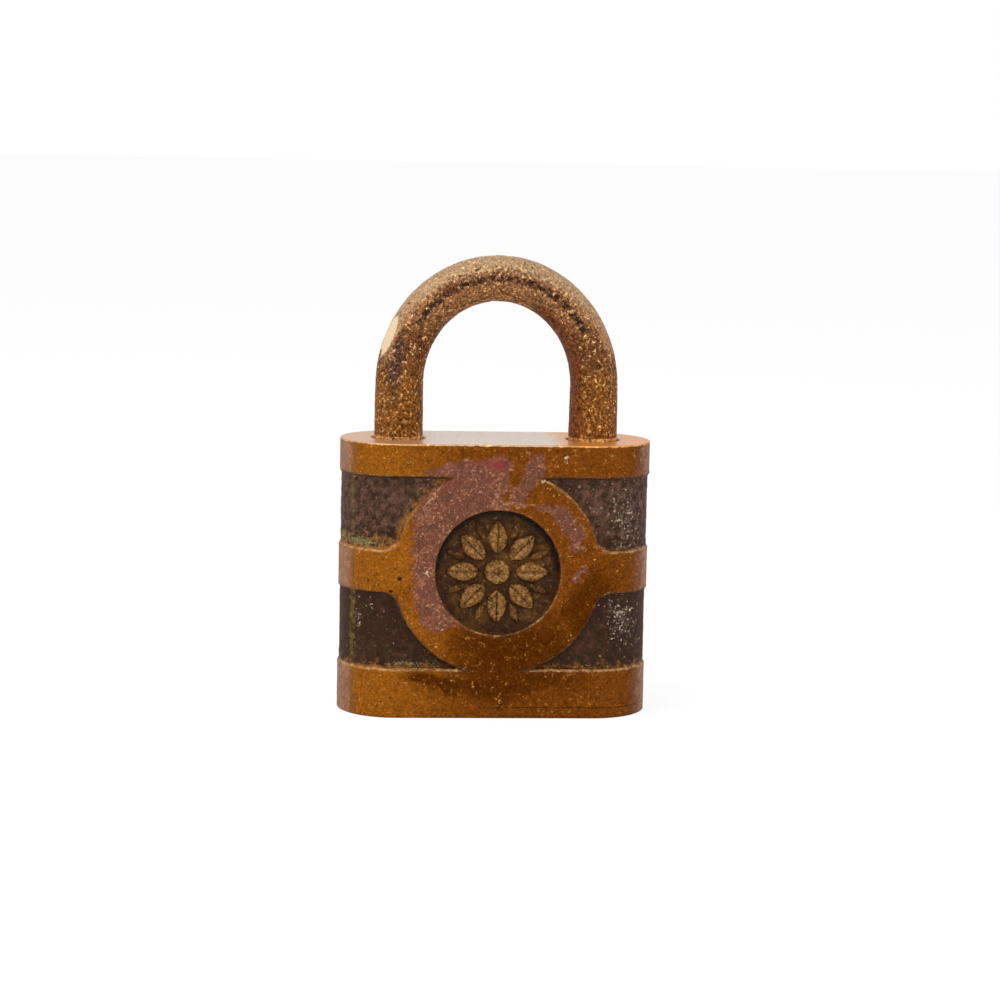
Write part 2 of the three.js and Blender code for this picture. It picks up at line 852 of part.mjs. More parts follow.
// The bolt: a guided block with a bevelled nose, a bore for its spring and a peg in the cam's slot.
function makeBolt() {
  const nose = new THREE.Shape();
  nose.moveTo(boltShoulder - overshoot, noseBottom);
  nose.lineTo(noseTip, noseBottom);
  nose.lineTo(noseTip, noseTop - noseBevel);
  nose.lineTo(noseTip - noseBevel, noseTop);
  nose.lineTo(boltShoulder - overshoot, noseTop);
  nose.closePath();
  const body = block(
    [-boltBack, -boltHalfWidth, boltBottom],
    [boltShoulder, boltHalfWidth, boltTop],
  );
  const peg = bar(pegRadius, camBottom + fitClearance, boltBottom + overshoot, smallSides);
  const springBore = barAlongX(
    boltSpringRadius + boltSpringWire + fitClearance,
    -boltBack - overshoot,
    -boltBack + springBoreDepth,
    smallSides,
  );
  const whole = cut(
    join(solid(body), solid(through(nose, noseHalfWidth)), solid(peg.translate(pegDrawn, 0, 0))),
    solid(springBore.translate(0, 0, boltBottom + boltSpringHeight)),
  );
  return piece("bolt", surface(whole), cleanBrass);
}

function makeBoltSpring() {
  const outer = boltSpringRadius + boltSpringWire;
  const wallX = Math.sqrt(pocketRadius ** 2 - outer ** 2);
  const end = -boltBack + springBoreDepth - fitClearance;
  const coil = coilSpring(
    boltSpringRadius,
    boltSpringWire,
    -wallX + fitClearance,
    end,
    boltSpringTurns,
    12,
  );
  const spring = piece("bolt_spring", coil, springSteel);
  spring.rotation.y = quarterTurn;
  spring.position.z = boltBottom + boltSpringHeight;
  return spring;
}

const casing = new THREE.Group();
casing.add(makeCase(), makeBottomPlate(), makeCylinderPin(), makeHeelPin());
rivetPlaces.forEach(([x, y], i) => casing.add(makeRivet(i + 1, x, y)));

const cylinder = new THREE.Group();
cylinder.add(makeCylinderShell(), makeSpringCover());
stackHeights.forEach((height, i) => {
  cylinder.add(makeDriverPin(i + 1, height), makePinSpring(i + 1, height));
});

// The plug stands a quarter turn from locked, which draws the bolt back.
const turning = new THREE.Group();
turning.add(makePlug(), makeCam(), makeCamScrew());
stackHeights.forEach((height, i) => turning.add(makeKeyPin(i + 1, height)));
turning.rotation.z = quarterTurn;

const padlock = new THREE.Group();
padlock.add(casing, cylinder, turning, makeShackle(), makeBolt(), makeBoltSpring());

export default padlock;
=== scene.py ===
import math

import bpy
import numpy as np
from mathutils import Euler, Matrix, Vector, noise


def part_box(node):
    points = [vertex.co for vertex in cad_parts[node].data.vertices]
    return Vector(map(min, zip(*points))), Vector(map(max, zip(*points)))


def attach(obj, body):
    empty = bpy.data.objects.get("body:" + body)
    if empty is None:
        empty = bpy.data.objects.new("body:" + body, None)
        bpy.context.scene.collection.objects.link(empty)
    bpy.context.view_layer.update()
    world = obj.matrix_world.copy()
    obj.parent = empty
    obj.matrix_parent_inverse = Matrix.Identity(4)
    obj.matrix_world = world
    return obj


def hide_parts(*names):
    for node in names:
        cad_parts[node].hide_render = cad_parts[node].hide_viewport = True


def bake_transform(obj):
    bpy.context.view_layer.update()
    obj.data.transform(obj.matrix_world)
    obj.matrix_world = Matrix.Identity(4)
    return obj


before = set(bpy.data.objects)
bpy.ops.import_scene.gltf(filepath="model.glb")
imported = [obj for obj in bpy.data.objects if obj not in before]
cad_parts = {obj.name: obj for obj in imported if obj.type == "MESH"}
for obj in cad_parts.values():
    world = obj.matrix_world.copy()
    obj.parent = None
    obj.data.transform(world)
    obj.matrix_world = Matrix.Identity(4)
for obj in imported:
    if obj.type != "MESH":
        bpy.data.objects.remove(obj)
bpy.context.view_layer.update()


def box_mm(node):
    """Lowest and highest corner of a CAD node, in millimetres."""
    return [np.array(corner) * 1000 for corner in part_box(node)]


# Sizes from the frame
case_low, case_high = box_mm("case")
plate_low, plate_high = box_mm("bottom_plate")
shackle_low, shackle_high = box_mm("shackle")
_, plug_high = box_mm("plug")
_, shell_high = box_mm("cylinder_shell")
bolt_low, bolt_high = box_mm("bolt")
_, cover_high = box_mm("spring_cover")
pin_low, pin_high = box_mm("cylinder_pin")
heel_pin_low, heel_pin_high = box_mm("heel_pin")
cam_low, _ = box_mm("cam")
rivet_low, rivet_high = box_mm("plate_rivet_1")

END_RADIUS = case_high[1]
LEG_X = case_high[0] - END_RADIUS
CASE_TOP = case_high[2]
SHACKLE_RADIUS = shackle_high[1]
BOW_THINNING = 0.25  # the bar is thinner by this at the top of the bow
BOW_RISE = 17.45  # the bow's height along the bar's middle, a little more than half its width
BOW_CENTRE = shackle_high[2] - (SHACKLE_RADIUS - BOW_THINNING) - BOW_RISE
PIN_CENTRE = (pin_low + pin_high) / 2
PIN_RADIUS = pin_high[0] - PIN_CENTRE[0]
FIT = 0.3
RUNNING = 0.15

# The case's raised bands and boss
PANEL_DEPTH = 1.0
PANEL_DRAFT = 0.6
BOTTOM_BAND_TOP = 7.9
BAND_CENTRE = 24.1
BAND_HALF = 3.25
TOP_BAND_BOTTOM = 39.8
BOSS_RADIUS = 16.8
BOSS_FILLET = 3.0
SIDE_SHARE = 0.26  # share of the panels' depth that is left at the round ends
EDGE_BREAK = 0.4
TOP_EDGE_BREAK = 0.18  # the top edge is worn crisp
EDGE_SHARE = 0.3  # share of the edge break at the middle of a rounded edge
SEAM = 0.08  # the line that shows between the case and its plate
SEAM_END = 2.0  # the seam closes from here to the left, over SEAM_FADE
SEAM_FADE = 6.0

# The round recess with its rosette
RECESS_RADIUS = 10.3
RECESS_DEPTH = 1.5
RECESS_DRAFT = 0.45
PETALS = 8
PETAL_INNER = 2.9
PETAL_OUTER = 8.6
PETAL_HALF_WIDTH = 1.8
RELIEF = 0.85
LEAF_INNER = 5.6
LEAF_OUTER = 9.3
LEAF_HALF_WIDTH = 0.85
LEAF_SHARE = 0.6  # height of a leaf tip as a share of a petal's
VEIN_HALF_WIDTH = 0.26
VEIN_DEPTH = 0.3
HUB_RADIUS = 2.3
DIMPLE_RADIUS = 0.9
DIMPLE_DEPTH = 0.25

# The pocket inside the case
BIBLE_HALF_WIDTH = 3.7
NOSE_LENGTH = 3.5
NOSE_HALF_WIDTH = 2.3
NOSE_LOW = 33.41
NOSE_HIGH = 36.61
BOLT_TRAVEL = 2.0
BOLT_HEADROOM = 0.4
PIN_FIT = 0.03
RIVET_HOLE_RADIUS = 1.25
RIVET_HEAD_DEPTH = 0.9
RIVET_FLARE = 0.2
CUT_THROUGH = 0.5  # how far a cutter reaches past the face that it opens

# The shackle's hidden ends
HEEL_END = shackle_low[2]
COLLAR_HEIGHT = 3.0
NECK_TOP = 32.2
NECK_RADIUS = 2.6
TOE_TIP = 31.51
TOE_CHAMFER = 1.0
NOTCH_LOW = 33.01
NOTCH_HIGH = 37.01
NOTCH_DEPTH = 2.4

# The coil springs: wire radius and turns
PIN_SPRING_WIRE = 0.18
PIN_SPRING_TURNS = 4
BOLT_SPRING_WIRE = 0.3
BOLT_SPRING_TURNS = 5
WIRE_SIDES = 10
STEPS_PER_TURN = 28

# A face with at least this upright share in its normal lies level
LEVEL = 0.99999

# Mesh steps in millimetres
FRONT_STEP = 0.2
END_STEP = 0.5
LEVEL_STEP = 0.23
BAR_SIDES = 96
BAR_STEP = 0.25


def smooth(value):
    """0 below 0, 1 above 1 and an even S between them."""
    value = np.clip(value, 0, 1)
    return value * value * (3 - 2 * value)


def grain(points, size, octaves=4, seed=0.0):
    """Cloudy noise of about -1 to 1 at each point, with its largest lumps about size mm wide."""
    shift = Vector((seed, seed * 1.7, -seed))
    return np.array([
        noise.fractal(Vector(point) / size + shift, 0.9, 2.1, octaves) for point in points
    ])


def mesh_object(name, vertices, faces):
    """A new object from vertices in millimetres."""
    mesh = bpy.data.meshes.new(name)
    mesh.from_pydata((np.asarray(vertices) / 1000).tolist(), [], faces)
    mesh.validate()
    made = bpy.data.objects.new(name, mesh)
    bpy.context.scene.collection.objects.link(made)
    return made


def vertices_mm(piece):
    places = np.empty(len(piece.data.vertices) * 3)
    piece.data.vertices.foreach_get("co", places)
    return places.reshape(-1, 3) * 1000


def facing_up(piece):
    """Upright share of the normal at each vertex."""
    normals = np.empty(len(piece.data.vertices) * 3)
    piece.data.vertex_normals.foreach_get("vector", normals)
    return normals[2::3]


def set_mask(piece, name, values):
    """A number on each vertex, for a material to read."""
    piece.data.attributes.new(name, "FLOAT", "POINT").data.foreach_set("value", values)


def lathe(outline, centre, axis="Z", sides=48):
    """Vertices and faces of (radius, distance) pairs turned about an axis through centre."""
    turn = {"X": Euler((0, math.pi / 2, 0)), "Y": Euler((-math.pi / 2, 0, 0)), "Z": Euler()}[axis]
    rows, faces = [], []
    for radius, distance in outline:
        for side in range(sides):
            angle = 2 * math.pi * side / sides
            point = Vector((radius * math.cos(angle), radius * math.sin(angle), distance))
            rows.append(turn.to_matrix() @ point + Vector(centre))
    for ring in range(len(outline) - 1):
        for side in range(sides):
            low, high = ring * sides, (ring + 1) * sides
            after = (side + 1) % sides
            faces.append((low + side, low + after, high + after, high + side))
    last = (len(outline) - 1) * sides
    faces.append(tuple(reversed(range(sides))))
    faces.append(tuple(range(last, last + sides)))
    return rows, faces


def tube_faces(rings, sides):
    """Faces between equal rings of vertices, closed at both ends."""
    faces = []
    for ring in range(rings - 1):
        low, high = ring * sides, (ring + 1) * sides
        for side in range(sides):
            after = (side + 1) % sides
            faces.append((low + side, high + side, high + after, low + after))
    last = (rings - 1) * sides
    faces.append(tuple(range(sides)))
    faces.append(tuple(range(last + sides - 1, last - 1, -1)))
    return faces


def rod(radius, start, end, centre, axis="Z", sides=48):
    return lathe([(radius, start), (radius, end)], centre, axis, sides)


def block(low, high):
    corners = [(x, y, z) for z in (low[2], high[2]) for y in (low[1], high[1])
               for x in (low[0], high[0])]
    faces = [(0, 2, 3, 1), (4, 5, 7, 6), (0, 1, 5, 4), (2, 6, 7, 3), (0, 4, 6, 2), (1, 3, 7, 5)]
    return corners, faces


def cut(piece, cutters):
    """Takes closed forms out of a piece for good."""
    for vertices, faces in cutters:
        tool = mesh_object("cutter", vertices, faces)
        step = piece.modifiers.new("cut", "BOOLEAN")
        step.operation = "DIFFERENCE"
        step.solver = "EXACT"
        step.object = tool
        graph = bpy.context.evaluated_depsgraph_get()
        shaped = bpy.data.meshes.new_from_object(piece.evaluated_get(graph))
        piece.modifiers.clear()
        piece.data = shaped
        bpy.data.objects.remove(tool)


def smooth_surface(piece, angle=50):
    """Smooth shading with sharp edges kept, and flat shading on the level faces."""
    piece.data.shade_smooth()
    piece.data.set_sharp_from_angle(angle=math.radians(angle))
    for face in piece.data.polygons:
        if abs(face.normal[2]) > LEVEL:
            face.use_smooth = False


# The case's skin

def stadium(shrink=0.0):
    """x, y and outward direction of points around the case, from the left end of the front."""
    flat = np.arange(-LEG_X, LEG_X, FRONT_STEP)
    turn = np.arange(0, math.pi, END_STEP / END_RADIUS)
    nx = np.concatenate([0 * flat, np.sin(turn), 0 * flat, -np.sin(turn)])
    ny = np.concatenate([0 * flat - 1, -np.cos(turn), 0 * flat + 1, np.cos(turn)])
    middle = np.concatenate([flat, 0 * turn + LEG_X, -flat, 0 * turn - LEG_X])
    reach = END_RADIUS - shrink
    return middle + reach * nx, reach * ny, nx, ny


def levels(marks):
    """Heights from the first mark to the last in small steps, with a level on each mark."""
    heights = [marks[0]]
    for low, high in zip(marks, marks[1:]):
        count = max(1, math.ceil((high - low) / LEVEL_STEP))
        heights.extend(low + (high - low) * (step + 1) / count for step in range(count))
    return heights


def raised_distance(x, z):
    """How far a point of the front or back lies outside the raised bands and boss, in mm."""
    boss = np.hypot(x, z - BAND_CENTRE) - BOSS_RADIUS
    band = np.abs(z - BAND_CENTRE) - BAND_HALF
    rise = BAND_HALF + BOSS_FILLET
    fillet_x = math.sqrt((BOSS_RADIUS + BOSS_FILLET) ** 2 - rise ** 2)
    corner = BOSS_FILLET - np.hypot(np.abs(x) - fillet_x, np.abs(z - BAND_CENTRE) - rise)
    level = np.abs(z - BAND_CENTRE)
    share = BOSS_RADIUS / (BOSS_RADIUS + BOSS_FILLET)
    near_root = (
        (np.abs(x) < fillet_x) & (level < rise) & (level * fillet_x < rise * np.abs(x))
        & (np.abs(x) > fillet_x * share)
    )
    root = np.where(near_root, corner, 99)
    edges = np.minimum(TOP_BAND_BOTTOM - z, z - BOTTOM_BAND_TOP)
    return np.minimum.reduce([boss, band, root, edges])


def rosette_height(x, z):
    """Height of the petals, leaf tips and hub above the floor of the round recess."""
    z = z - BAND_CENTRE
    height = RELIEF * smooth((HUB_RADIUS - np.hypot(x, z)) / 0.5)
    height -= DIMPLE_DEPTH * smooth((DIMPLE_RADIUS - np.hypot(x, z)) / 0.4)
    for number in range(2 * PETALS):
        leaf = number % 2
        inner, outer = (LEAF_INNER, LEAF_OUTER) if leaf else (PETAL_INNER, PETAL_OUTER)
        half, top = (LEAF_HALF_WIDTH, LEAF_SHARE) if leaf else (PETAL_HALF_WIDTH, 1.0)
        angle = math.pi / 2 + math.pi * number / PETALS
        along = x * math.cos(angle) + z * math.sin(angle)
        across = np.abs(z * math.cos(angle) - x * math.sin(angle))
        share = np.clip((along - inner) / (outer - inner), 0, 1)
        width = half * np.sin(math.pi * share ** 0.85) ** 0.75 + 1e-6
        inside = smooth((width - across) / 0.4)
        dome = np.sqrt(np.clip(1 - (across / (half + 0.1)) ** 2, 0, 1))
        vein = VEIN_DEPTH * smooth((VEIN_HALF_WIDTH - across) / 0.24) * (1 - leaf)
        height = np.maximum(height, inside * (RELIEF * top * (0.5 + 0.5 * dome) - vein))
    return height


def case_depth(x, y, z):
    """How deep the panels and the recess with its rosette lie under the case's outer form."""
    hollow = PANEL_DEPTH * smooth(raised_distance(x, z) / PANEL_DRAFT)
    round_edge = np.hypot(x, z - BAND_CENTRE)
    recess = RECESS_DEPTH * smooth((RECESS_RADIUS - round_edge) / RECESS_DRAFT)
    relief = np.where(y < 0, rosette_height(x, z), 0)
    return hollow, recess - np.minimum(relief, recess)


def snap(x, z, radius):
    """Moves points that lie close to a circle of the front onto it, so its edge runs clean."""
    distance = np.hypot(x, z - BAND_CENTRE)
    near = np.abs(distance - radius) < FRONT_STEP / 2
    scale = np.where(near, radius / np.maximum(distance, 1e-6), 1)
    return x * scale, BAND_CENTRE + (z - BAND_CENTRE) * scale


def skin(marks, sunk=True):
    """The case or its plate: rings around the stadium, closed at both ends."""
    edge = TOP_EDGE_BREAK if sunk else EDGE_BREAK
    broken = {0: edge, 1: edge * EDGE_SHARE}
    rows = []
    heights = levels(marks)
    for number, height in enumerate(heights):
        from_edge = len(heights) - 1 - number if sunk else number
        x, y, nx, ny = stadium(broken.get(from_edge, 0))
        z = np.full(len(x), height)
        if sunk:
            flat = np.abs(ny) > 0.999
            for radius in (RECESS_RADIUS, BOSS_RADIUS):
                snapped_x, snapped_z = snap(x, z, radius)
                x = np.where(flat, snapped_x, x)
                z = np.where(flat, snapped_z, z)
            hollow, recess = case_depth(x, y, z)
            share = SIDE_SHARE + (1 - SIDE_SHARE) * ny ** 2
            depth = hollow * share + recess
            x, y = x - depth * nx, y - depth * ny
        rows.append(np.stack([x, y, z], axis=1))
    count = len(rows[0])
    points = np.concatenate(rows)
    faces = []
    for ring in range(len(rows) - 1):
        low, high = ring * count, (ring + 1) * count
        for side in range(count):
            after = (side + 1) % count
            faces.append((low + side, low + after, high + after, high + side))
    faces.append(tuple(reversed(range(count))))
    faces.append(tuple(range(len(points) - count, len(points))))
    return points, faces


def roughen_case(points):
    """Cast texture: lumpy panel floors, small dents on the raised faces, crusts and chips."""
    x, y, z = points.T
    outward = np.stack([
        np.where(np.abs(x) > LEG_X, x - np.sign(x) * LEG_X, 0), y, 0 * z,
    ], axis=1)
    outward /= np.maximum(np.linalg.norm(outward, axis=1, keepdims=True), 1e-6)
    outside = raised_distance(x, z)
    hollow = smooth(outside / PANEL_DRAFT)
    rough = 0.06 * grain(points, 1.1, 4) + 0.05 * grain(points, 4.0, 2, 5)
    dents = -0.14 * smooth((grain(points, 1.6, 3, 9) - 0.66) / 0.25)
    dents += 0.02 * grain(points, 5.0, 2, 3)
    lip = smooth((outside + 0.5) / 0.5) * (1 - hollow)
    ragged = 0.12 * grain(points, 0.9, 3, 13) * lip
    sunk = (np.hypot(x, z - BAND_CENTRE) < RECESS_RADIUS) & (y < 0)
    caked = 0.11 * grain(points, 0.8, 4, 4) + 0.08 * grain(points, 2.6, 2, 6)
    rough = np.where(sunk, caked, rough * hollow)
    inner = (z > case_low[2] + 0.1) & (z < CASE_TOP - 0.1)
    height = np.where(inner, rough + dents * (1 - hollow) * ~sunk + ragged, 0)
    front = y < 0
    crust = np.max([spot(x, z, *place) for place in CRUSTS], axis=0) * front
    height += smooth((crust - 0.5) / 0.3) * (0.14 + 0.22 * grain(points, 0.7, 3, 31))
    for place in PITS + NICKS:
        chip = smooth((spot(x, z, *place) + 0.25 * grain(points, 0.8, 3, 17) - 0.5) / 0.3)
        height -= CHIP_DEPTH * chip * front
    pin = np.hypot(x - PIN_CENTRE[0], z - PIN_CENTRE[2]) - PIN_RADIUS
    height -= 0.05 * np.exp(-(pin / 0.3) ** 2) * front
    return points + outward * height[:, None]


def case_cutters():
    """The bores, pockets and holes that go into the case."""
    pocket_radius = shell_high[1] + FIT
    pocket_top = bolt_high[2] + BOLT_HEADROOM
    low = plate_high[2] - CUT_THROUGH
    mouth = SHACKLE_RADIUS + FIT
    worn = EDGE_BREAK * EDGE_SHARE
    forms = []
    for x, bottom in ((-LEG_X, HEEL_END - FIT), (LEG_X, TOE_TIP - FIT)):
        outline = [
            (mouth, bottom), (mouth, CASE_TOP - EDGE_BREAK), (mouth + worn, CASE_TOP - worn),
            (mouth + EDGE_BREAK, CASE_TOP), (mouth + EDGE_BREAK, CASE_TOP + CUT_THROUGH),
        ]
        forms.append(lathe(outline, (x, 0, 0)))
    forms.append(rod(pocket_radius, low, pocket_top, (0, 0, 0), sides=64))
    forms.append(block(
        (0, -BIBLE_HALF_WIDTH - FIT, low),
        (cover_high[0] + FIT, BIBLE_HALF_WIDTH + FIT, cam_low[2] - RUNNING),
    ))
    guide_end = bolt_high[0] - NOSE_LENGTH + BOLT_TRAVEL + FIT
    forms.append(block((0, bolt_low[1] - FIT, low), (guide_end, bolt_high[1] + FIT, pocket_top)))
    forms.append(block(
        (0, -NOSE_HALF_WIDTH - FIT, NOSE_LOW - FIT), (LEG_X, NOSE_HALF_WIDTH + FIT, NOSE_HIGH + FIT),
    ))
    forms.append(rod(PIN_RADIUS + PIN_FIT, -END_RADIUS - CUT_THROUGH, pin_high[1] + FIT,
                     (PIN_CENTRE[0], 0, PIN_CENTRE[2]), "Y"))
    heel_pin = (heel_pin_low + heel_pin_high) / 2
    forms.append(rod(heel_pin_high[1] + RUNNING, -LEG_X, 0, (0, 0, heel_pin[2]), "X", 24))
    return forms + rivet_cutters()


def rivet_cutters():
    """The four rivets' holes, countersunk in the plate and blind in the case."""
    middle = (rivet_low + rivet_high) / 2
    head = (rivet_high[0] - rivet_low[0]) / 2
    forms = []
    for x in (-abs(middle[0]), abs(middle[0])):
        for y in (-abs(middle[1]), abs(middle[1])):
            outline = [
                (head + RUNNING + RIVET_FLARE, -RIVET_FLARE), (head + RUNNING, 0),
                (RIVET_HOLE_RADIUS, RIVET_HEAD_DEPTH),
                (RIVET_HOLE_RADIUS, rivet_high[2] + RUNNING),
            ]
            forms.append(lathe(outline, (x, y, 0), sides=32))
    return forms


def make_case():
    marks = [
        plate_high[2] + SEAM, BOTTOM_BAND_TOP, BOTTOM_BAND_TOP + PANEL_DRAFT,
        BAND_CENTRE - BAND_HALF - PANEL_DRAFT, BAND_CENTRE - BAND_HALF,
        BAND_CENTRE + BAND_HALF, BAND_CENTRE + BAND_HALF + PANEL_DRAFT,
        TOP_BAND_BOTTOM - PANEL_DRAFT, TOP_BAND_BOTTOM,
        CASE_TOP - TOP_EDGE_BREAK, CASE_TOP - TOP_EDGE_BREAK * EDGE_SHARE, CASE_TOP,
    ]
    points, faces = skin(marks)
    points = roughen_case(points)
    lowest = points[:, 2] < plate_high[2] + SEAM + 0.001
    points[lowest, 2] -= 0.95 * SEAM * smooth((SEAM_END - points[lowest, 0]) / SEAM_FADE)
    piece = mesh_object("case_body", points, faces)
    cut(piece, case_cutters())
    smooth_surface(piece, 55)
    case_masks(piece)
    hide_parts("case")
    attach(piece, "case")
    return piece


def spot(x, z, centre_x, centre_z, half_x, half_z, tilt=0):
    """A soft oval on the front: 1 in its middle, 0.5 on its edge and 0 at twice its size."""
    angle = math.radians(tilt)
    along = (x - centre_x) * math.cos(angle) + (z - centre_z) * math.sin(angle)
    across = (z - centre_z) * math.cos(angle) - (x - centre_x) * math.sin(angle)
    return np.clip(1 - 0.5 * np.hypot(along / half_x, across / half_z), 0, 1)


# Old paint on the front, each patch as its corners in x and z
PAINT_PATCHES = [
    [(-13.0, 40.3), (-9.4, 41.9), (-5.8, 42.6), (0.7, 43.2), (2.0, 42.6), (1.8, 40.0),
     (0.8, 36.5), (2.2, 33.5), (0.0, 30.0), (-5.0, 24.0), (-5.0, 16.0), (-8.1, 14.8),
     (-10.1, 14.2), (-12.6, 16.0), (-13.7, 19.0), (-13.8, 26.0), (-14.2, 32.5), (-12.9, 36.0),
     (-10.6, 38.4), (-10.6, 39.4)],
    [(4.5, 43.5), (7.0, 43.8), (7.5, 41.3), (6.3, 39.3), (5.5, 37.3), (3.8, 35.2), (1.3, 35.0),
     (1.7, 37.3), (3.3, 39.3), (4.1, 41.3)],
    [(5.5, 34.6), (7.4, 35.4), (11.4, 34.8), (13.6, 32.1), (14.2, 28.3), (12.5, 27.1),
     (11.4, 28.7), (10.6, 31.2), (8.3, 33.5)],
    [(12.1, 23.7), (13.3, 24.8), (15.5, 25.6), (13.6, 23.5), (12.9, 22.3), (12.1, 22.7)],
]
CRIMSON_PATCHES = [
    [(-13.0, 40.4), (-9.4, 41.8), (-5.8, 42.5), (0.7, 43.1), (1.9, 42.4), (1.7, 40.8),
     (-0.5, 40.2), (-2.5, 41.4), (-6.0, 41.8), (-9.0, 41.0), (-11.5, 39.9)],
    [(-10.4, 38.4), (-7.2, 39.9), (-6.0, 39.2), (-9.0, 37.2)],
]

# Ovals on the front: x, z, half width, half height and tilt
FLECKS = [
    (-9.0, 14.6, 0.4, 0.2, 20), (-10.4, 18.9, 0.25, 0.13, 40), (-20.4, 18.5, 0.2, 0.18, 0),
    (-22.3, 15.0, 0.25, 0.5, 0), (10.8, 42.9, 0.3, 0.6, -8), (7.1, 39.0, 0.35, 0.35, 0),
    (10.7, 15.8, 0.3, 0.12, -20), (-11.5, 24.0, 0.5, 0.3, 0), (13.0, 26.0, 0.2, 0.12, 0),
]
SCRATCHES = [(-10.9, 36.4, 5.6, 0.09, 51), (-10.5, 33.8, 0.09, 1.6, -5), (11.8, 26.9, 2.0, 0.08, -5),
             (-5.0, 42.6, 3.0, 0.08, 6), (-3.5, 38.3, 1.2, 0.08, 30), (13.2, 15.6, 1.6, 0.07, 5)]
SCUFFS = [(1.2, 35.3, 5.0, 0.6, 0), (-6.5, 33.0, 1.5, 0.5, 40), (10.0, 33.0, 1.5, 0.6, -40)]
CRUSTS = [(-22.4, 28.8, 3.4, 0.8, -7), (-14.6, 8.9, 3.6, 0.35, 0), (21.0, 28.2, 2.4, 0.25, 4)]
PITS = [(-15.9, 23.0, 0.35, 0.3, 0), (-17.3, 20.9, 0.35, 0.25, 0), (-16.6, 24.6, 0.25, 0.2, 0)]
NICKS = [(18.6, 44.9, 1.0, 0.25, 0), (20.3, 2.2, 1.6, 0.4, 0), (-2.2, 44.9, 0.6, 0.2, 0),
         (9.5, 44.9, 0.5, 0.2, 0), (-12.0, 44.9, 0.4, 0.15, 0)]
CHIP_DEPTH = 0.22
SPECKLED = [(21.0, 33.0, 2.4, 4.2, 10), (20.6, 16.0, 2.2, 4.0, 10), (-22.3, 16.4, 0.6, 1.0, 0)]
DARK_STAINS = [(4.0, 10.5, 11.0, 6.5, 0), (15.0, 19.0, 3.5, 6.5, -25), (0.0, 5.2, 7.0, 2.2, 0),
               (-7.5, 5.5, 3.0, 1.5, 0), (-12.0, 6.6, 3.4, 1.0, -8), (8.2, 13.3, 1.9, 1.9, 0)]


def patch_depth(x, z, corners):
    """How far each point lies inside a patch with straight sides, in mm, negative outside."""
    nearest = np.full(len(x), 1e9)
    inside = np.zeros(len(x), bool)
    for (ax, az), (bx, bz) in zip(corners, corners[1:] + corners[:1]):
        length = (bx - ax) ** 2 + (bz - az) ** 2
        share = np.clip(((x - ax) * (bx - ax) + (z - az) * (bz - az)) / length, 0, 1)
        nearest = np.minimum(nearest, np.hypot(x - ax - share * (bx - ax), z - az - share * (bz - az)))
        crosses = (az > z) != (bz > z)
        inside ^= crosses & (x < ax + (z - az) * (bx - ax) / np.where(bz == az, 1e-9, bz - az))
    return np.where(inside, nearest, -nearest)


# Widths of the wear and of the painted highlight along the case's edges
BRIGHT_EDGE = 0.15
LEDGE = 0.5  # how far it reaches down a wall that faces up
SKIN = 2.2  # what lies deeper than this under the outer form is inside the case

# Painted reflection at the round ends: a pale tone where the curved faces turn away, standing for the
# bright surroundings that they mirror, with an olive line at its edge. In degrees around them from the
# flat face: start and length
LEFT_END_REFLECTION = (42, 24)
RIGHT_END_REFLECTION = (36, 34)
REFLECTION_STREAK_ANGLE = 51


def worn_and_highlit_edges(outside, round_edge, faces_up, flat):
    """Worn bright metal along the edges of the bands, boss and recess, with a painted highlight that
    grows where they face up, and a painted highlight on walls that face up.
    """
    recess_edge = np.exp(-((round_edge - RECESS_RADIUS - 0.1) / 0.2) ** 2) * flat
    band_edge = np.exp(-((outside + 0.02) / BRIGHT_EDGE) ** 2)
    ledge = faces_up * smooth(outside / BRIGHT_EDGE) * smooth(2 * (LEDGE - outside) / LEDGE)
    return np.maximum(np.maximum(band_edge, recess_edge) * (0.6 + 0.4 * faces_up), ledge)


def rubbed_enamel_and_fillet_light(x, z, outside, round_edge):
    """Where the panels' enamel is rubbed thin: by the boss and bands, most at the upper left. By the
    boss it is also painted light that stands for the lit fillet.
    """
    upper_left = (x < 0) & (z > BAND_CENTRE)
    return np.maximum.reduce([
        smooth((3.0 - (round_edge - BOSS_RADIUS)) / 3.4) * upper_left,
        0.9 * smooth((33.0 - z) / 5.2) * upper_left,
        0.55 * smooth((0.6 - outside) / 0.6),
        0.7 * smooth((10.6 - z) / 2.4),
    ])


def dirt_and_shade_in_groove(y, z, round_edge):
    """Painted shade and dirt in the groove under the wall of the front's recess, most along its upper
    half.
    """
    in_recess = (round_edge < RECESS_RADIUS) & (y < 0)
    groove = smooth((round_edge - RECESS_RADIUS + 1.9) / 1.5) * in_recess
    return groove * (0.7 + 0.3 * np.sign(z - BAND_CENTRE))


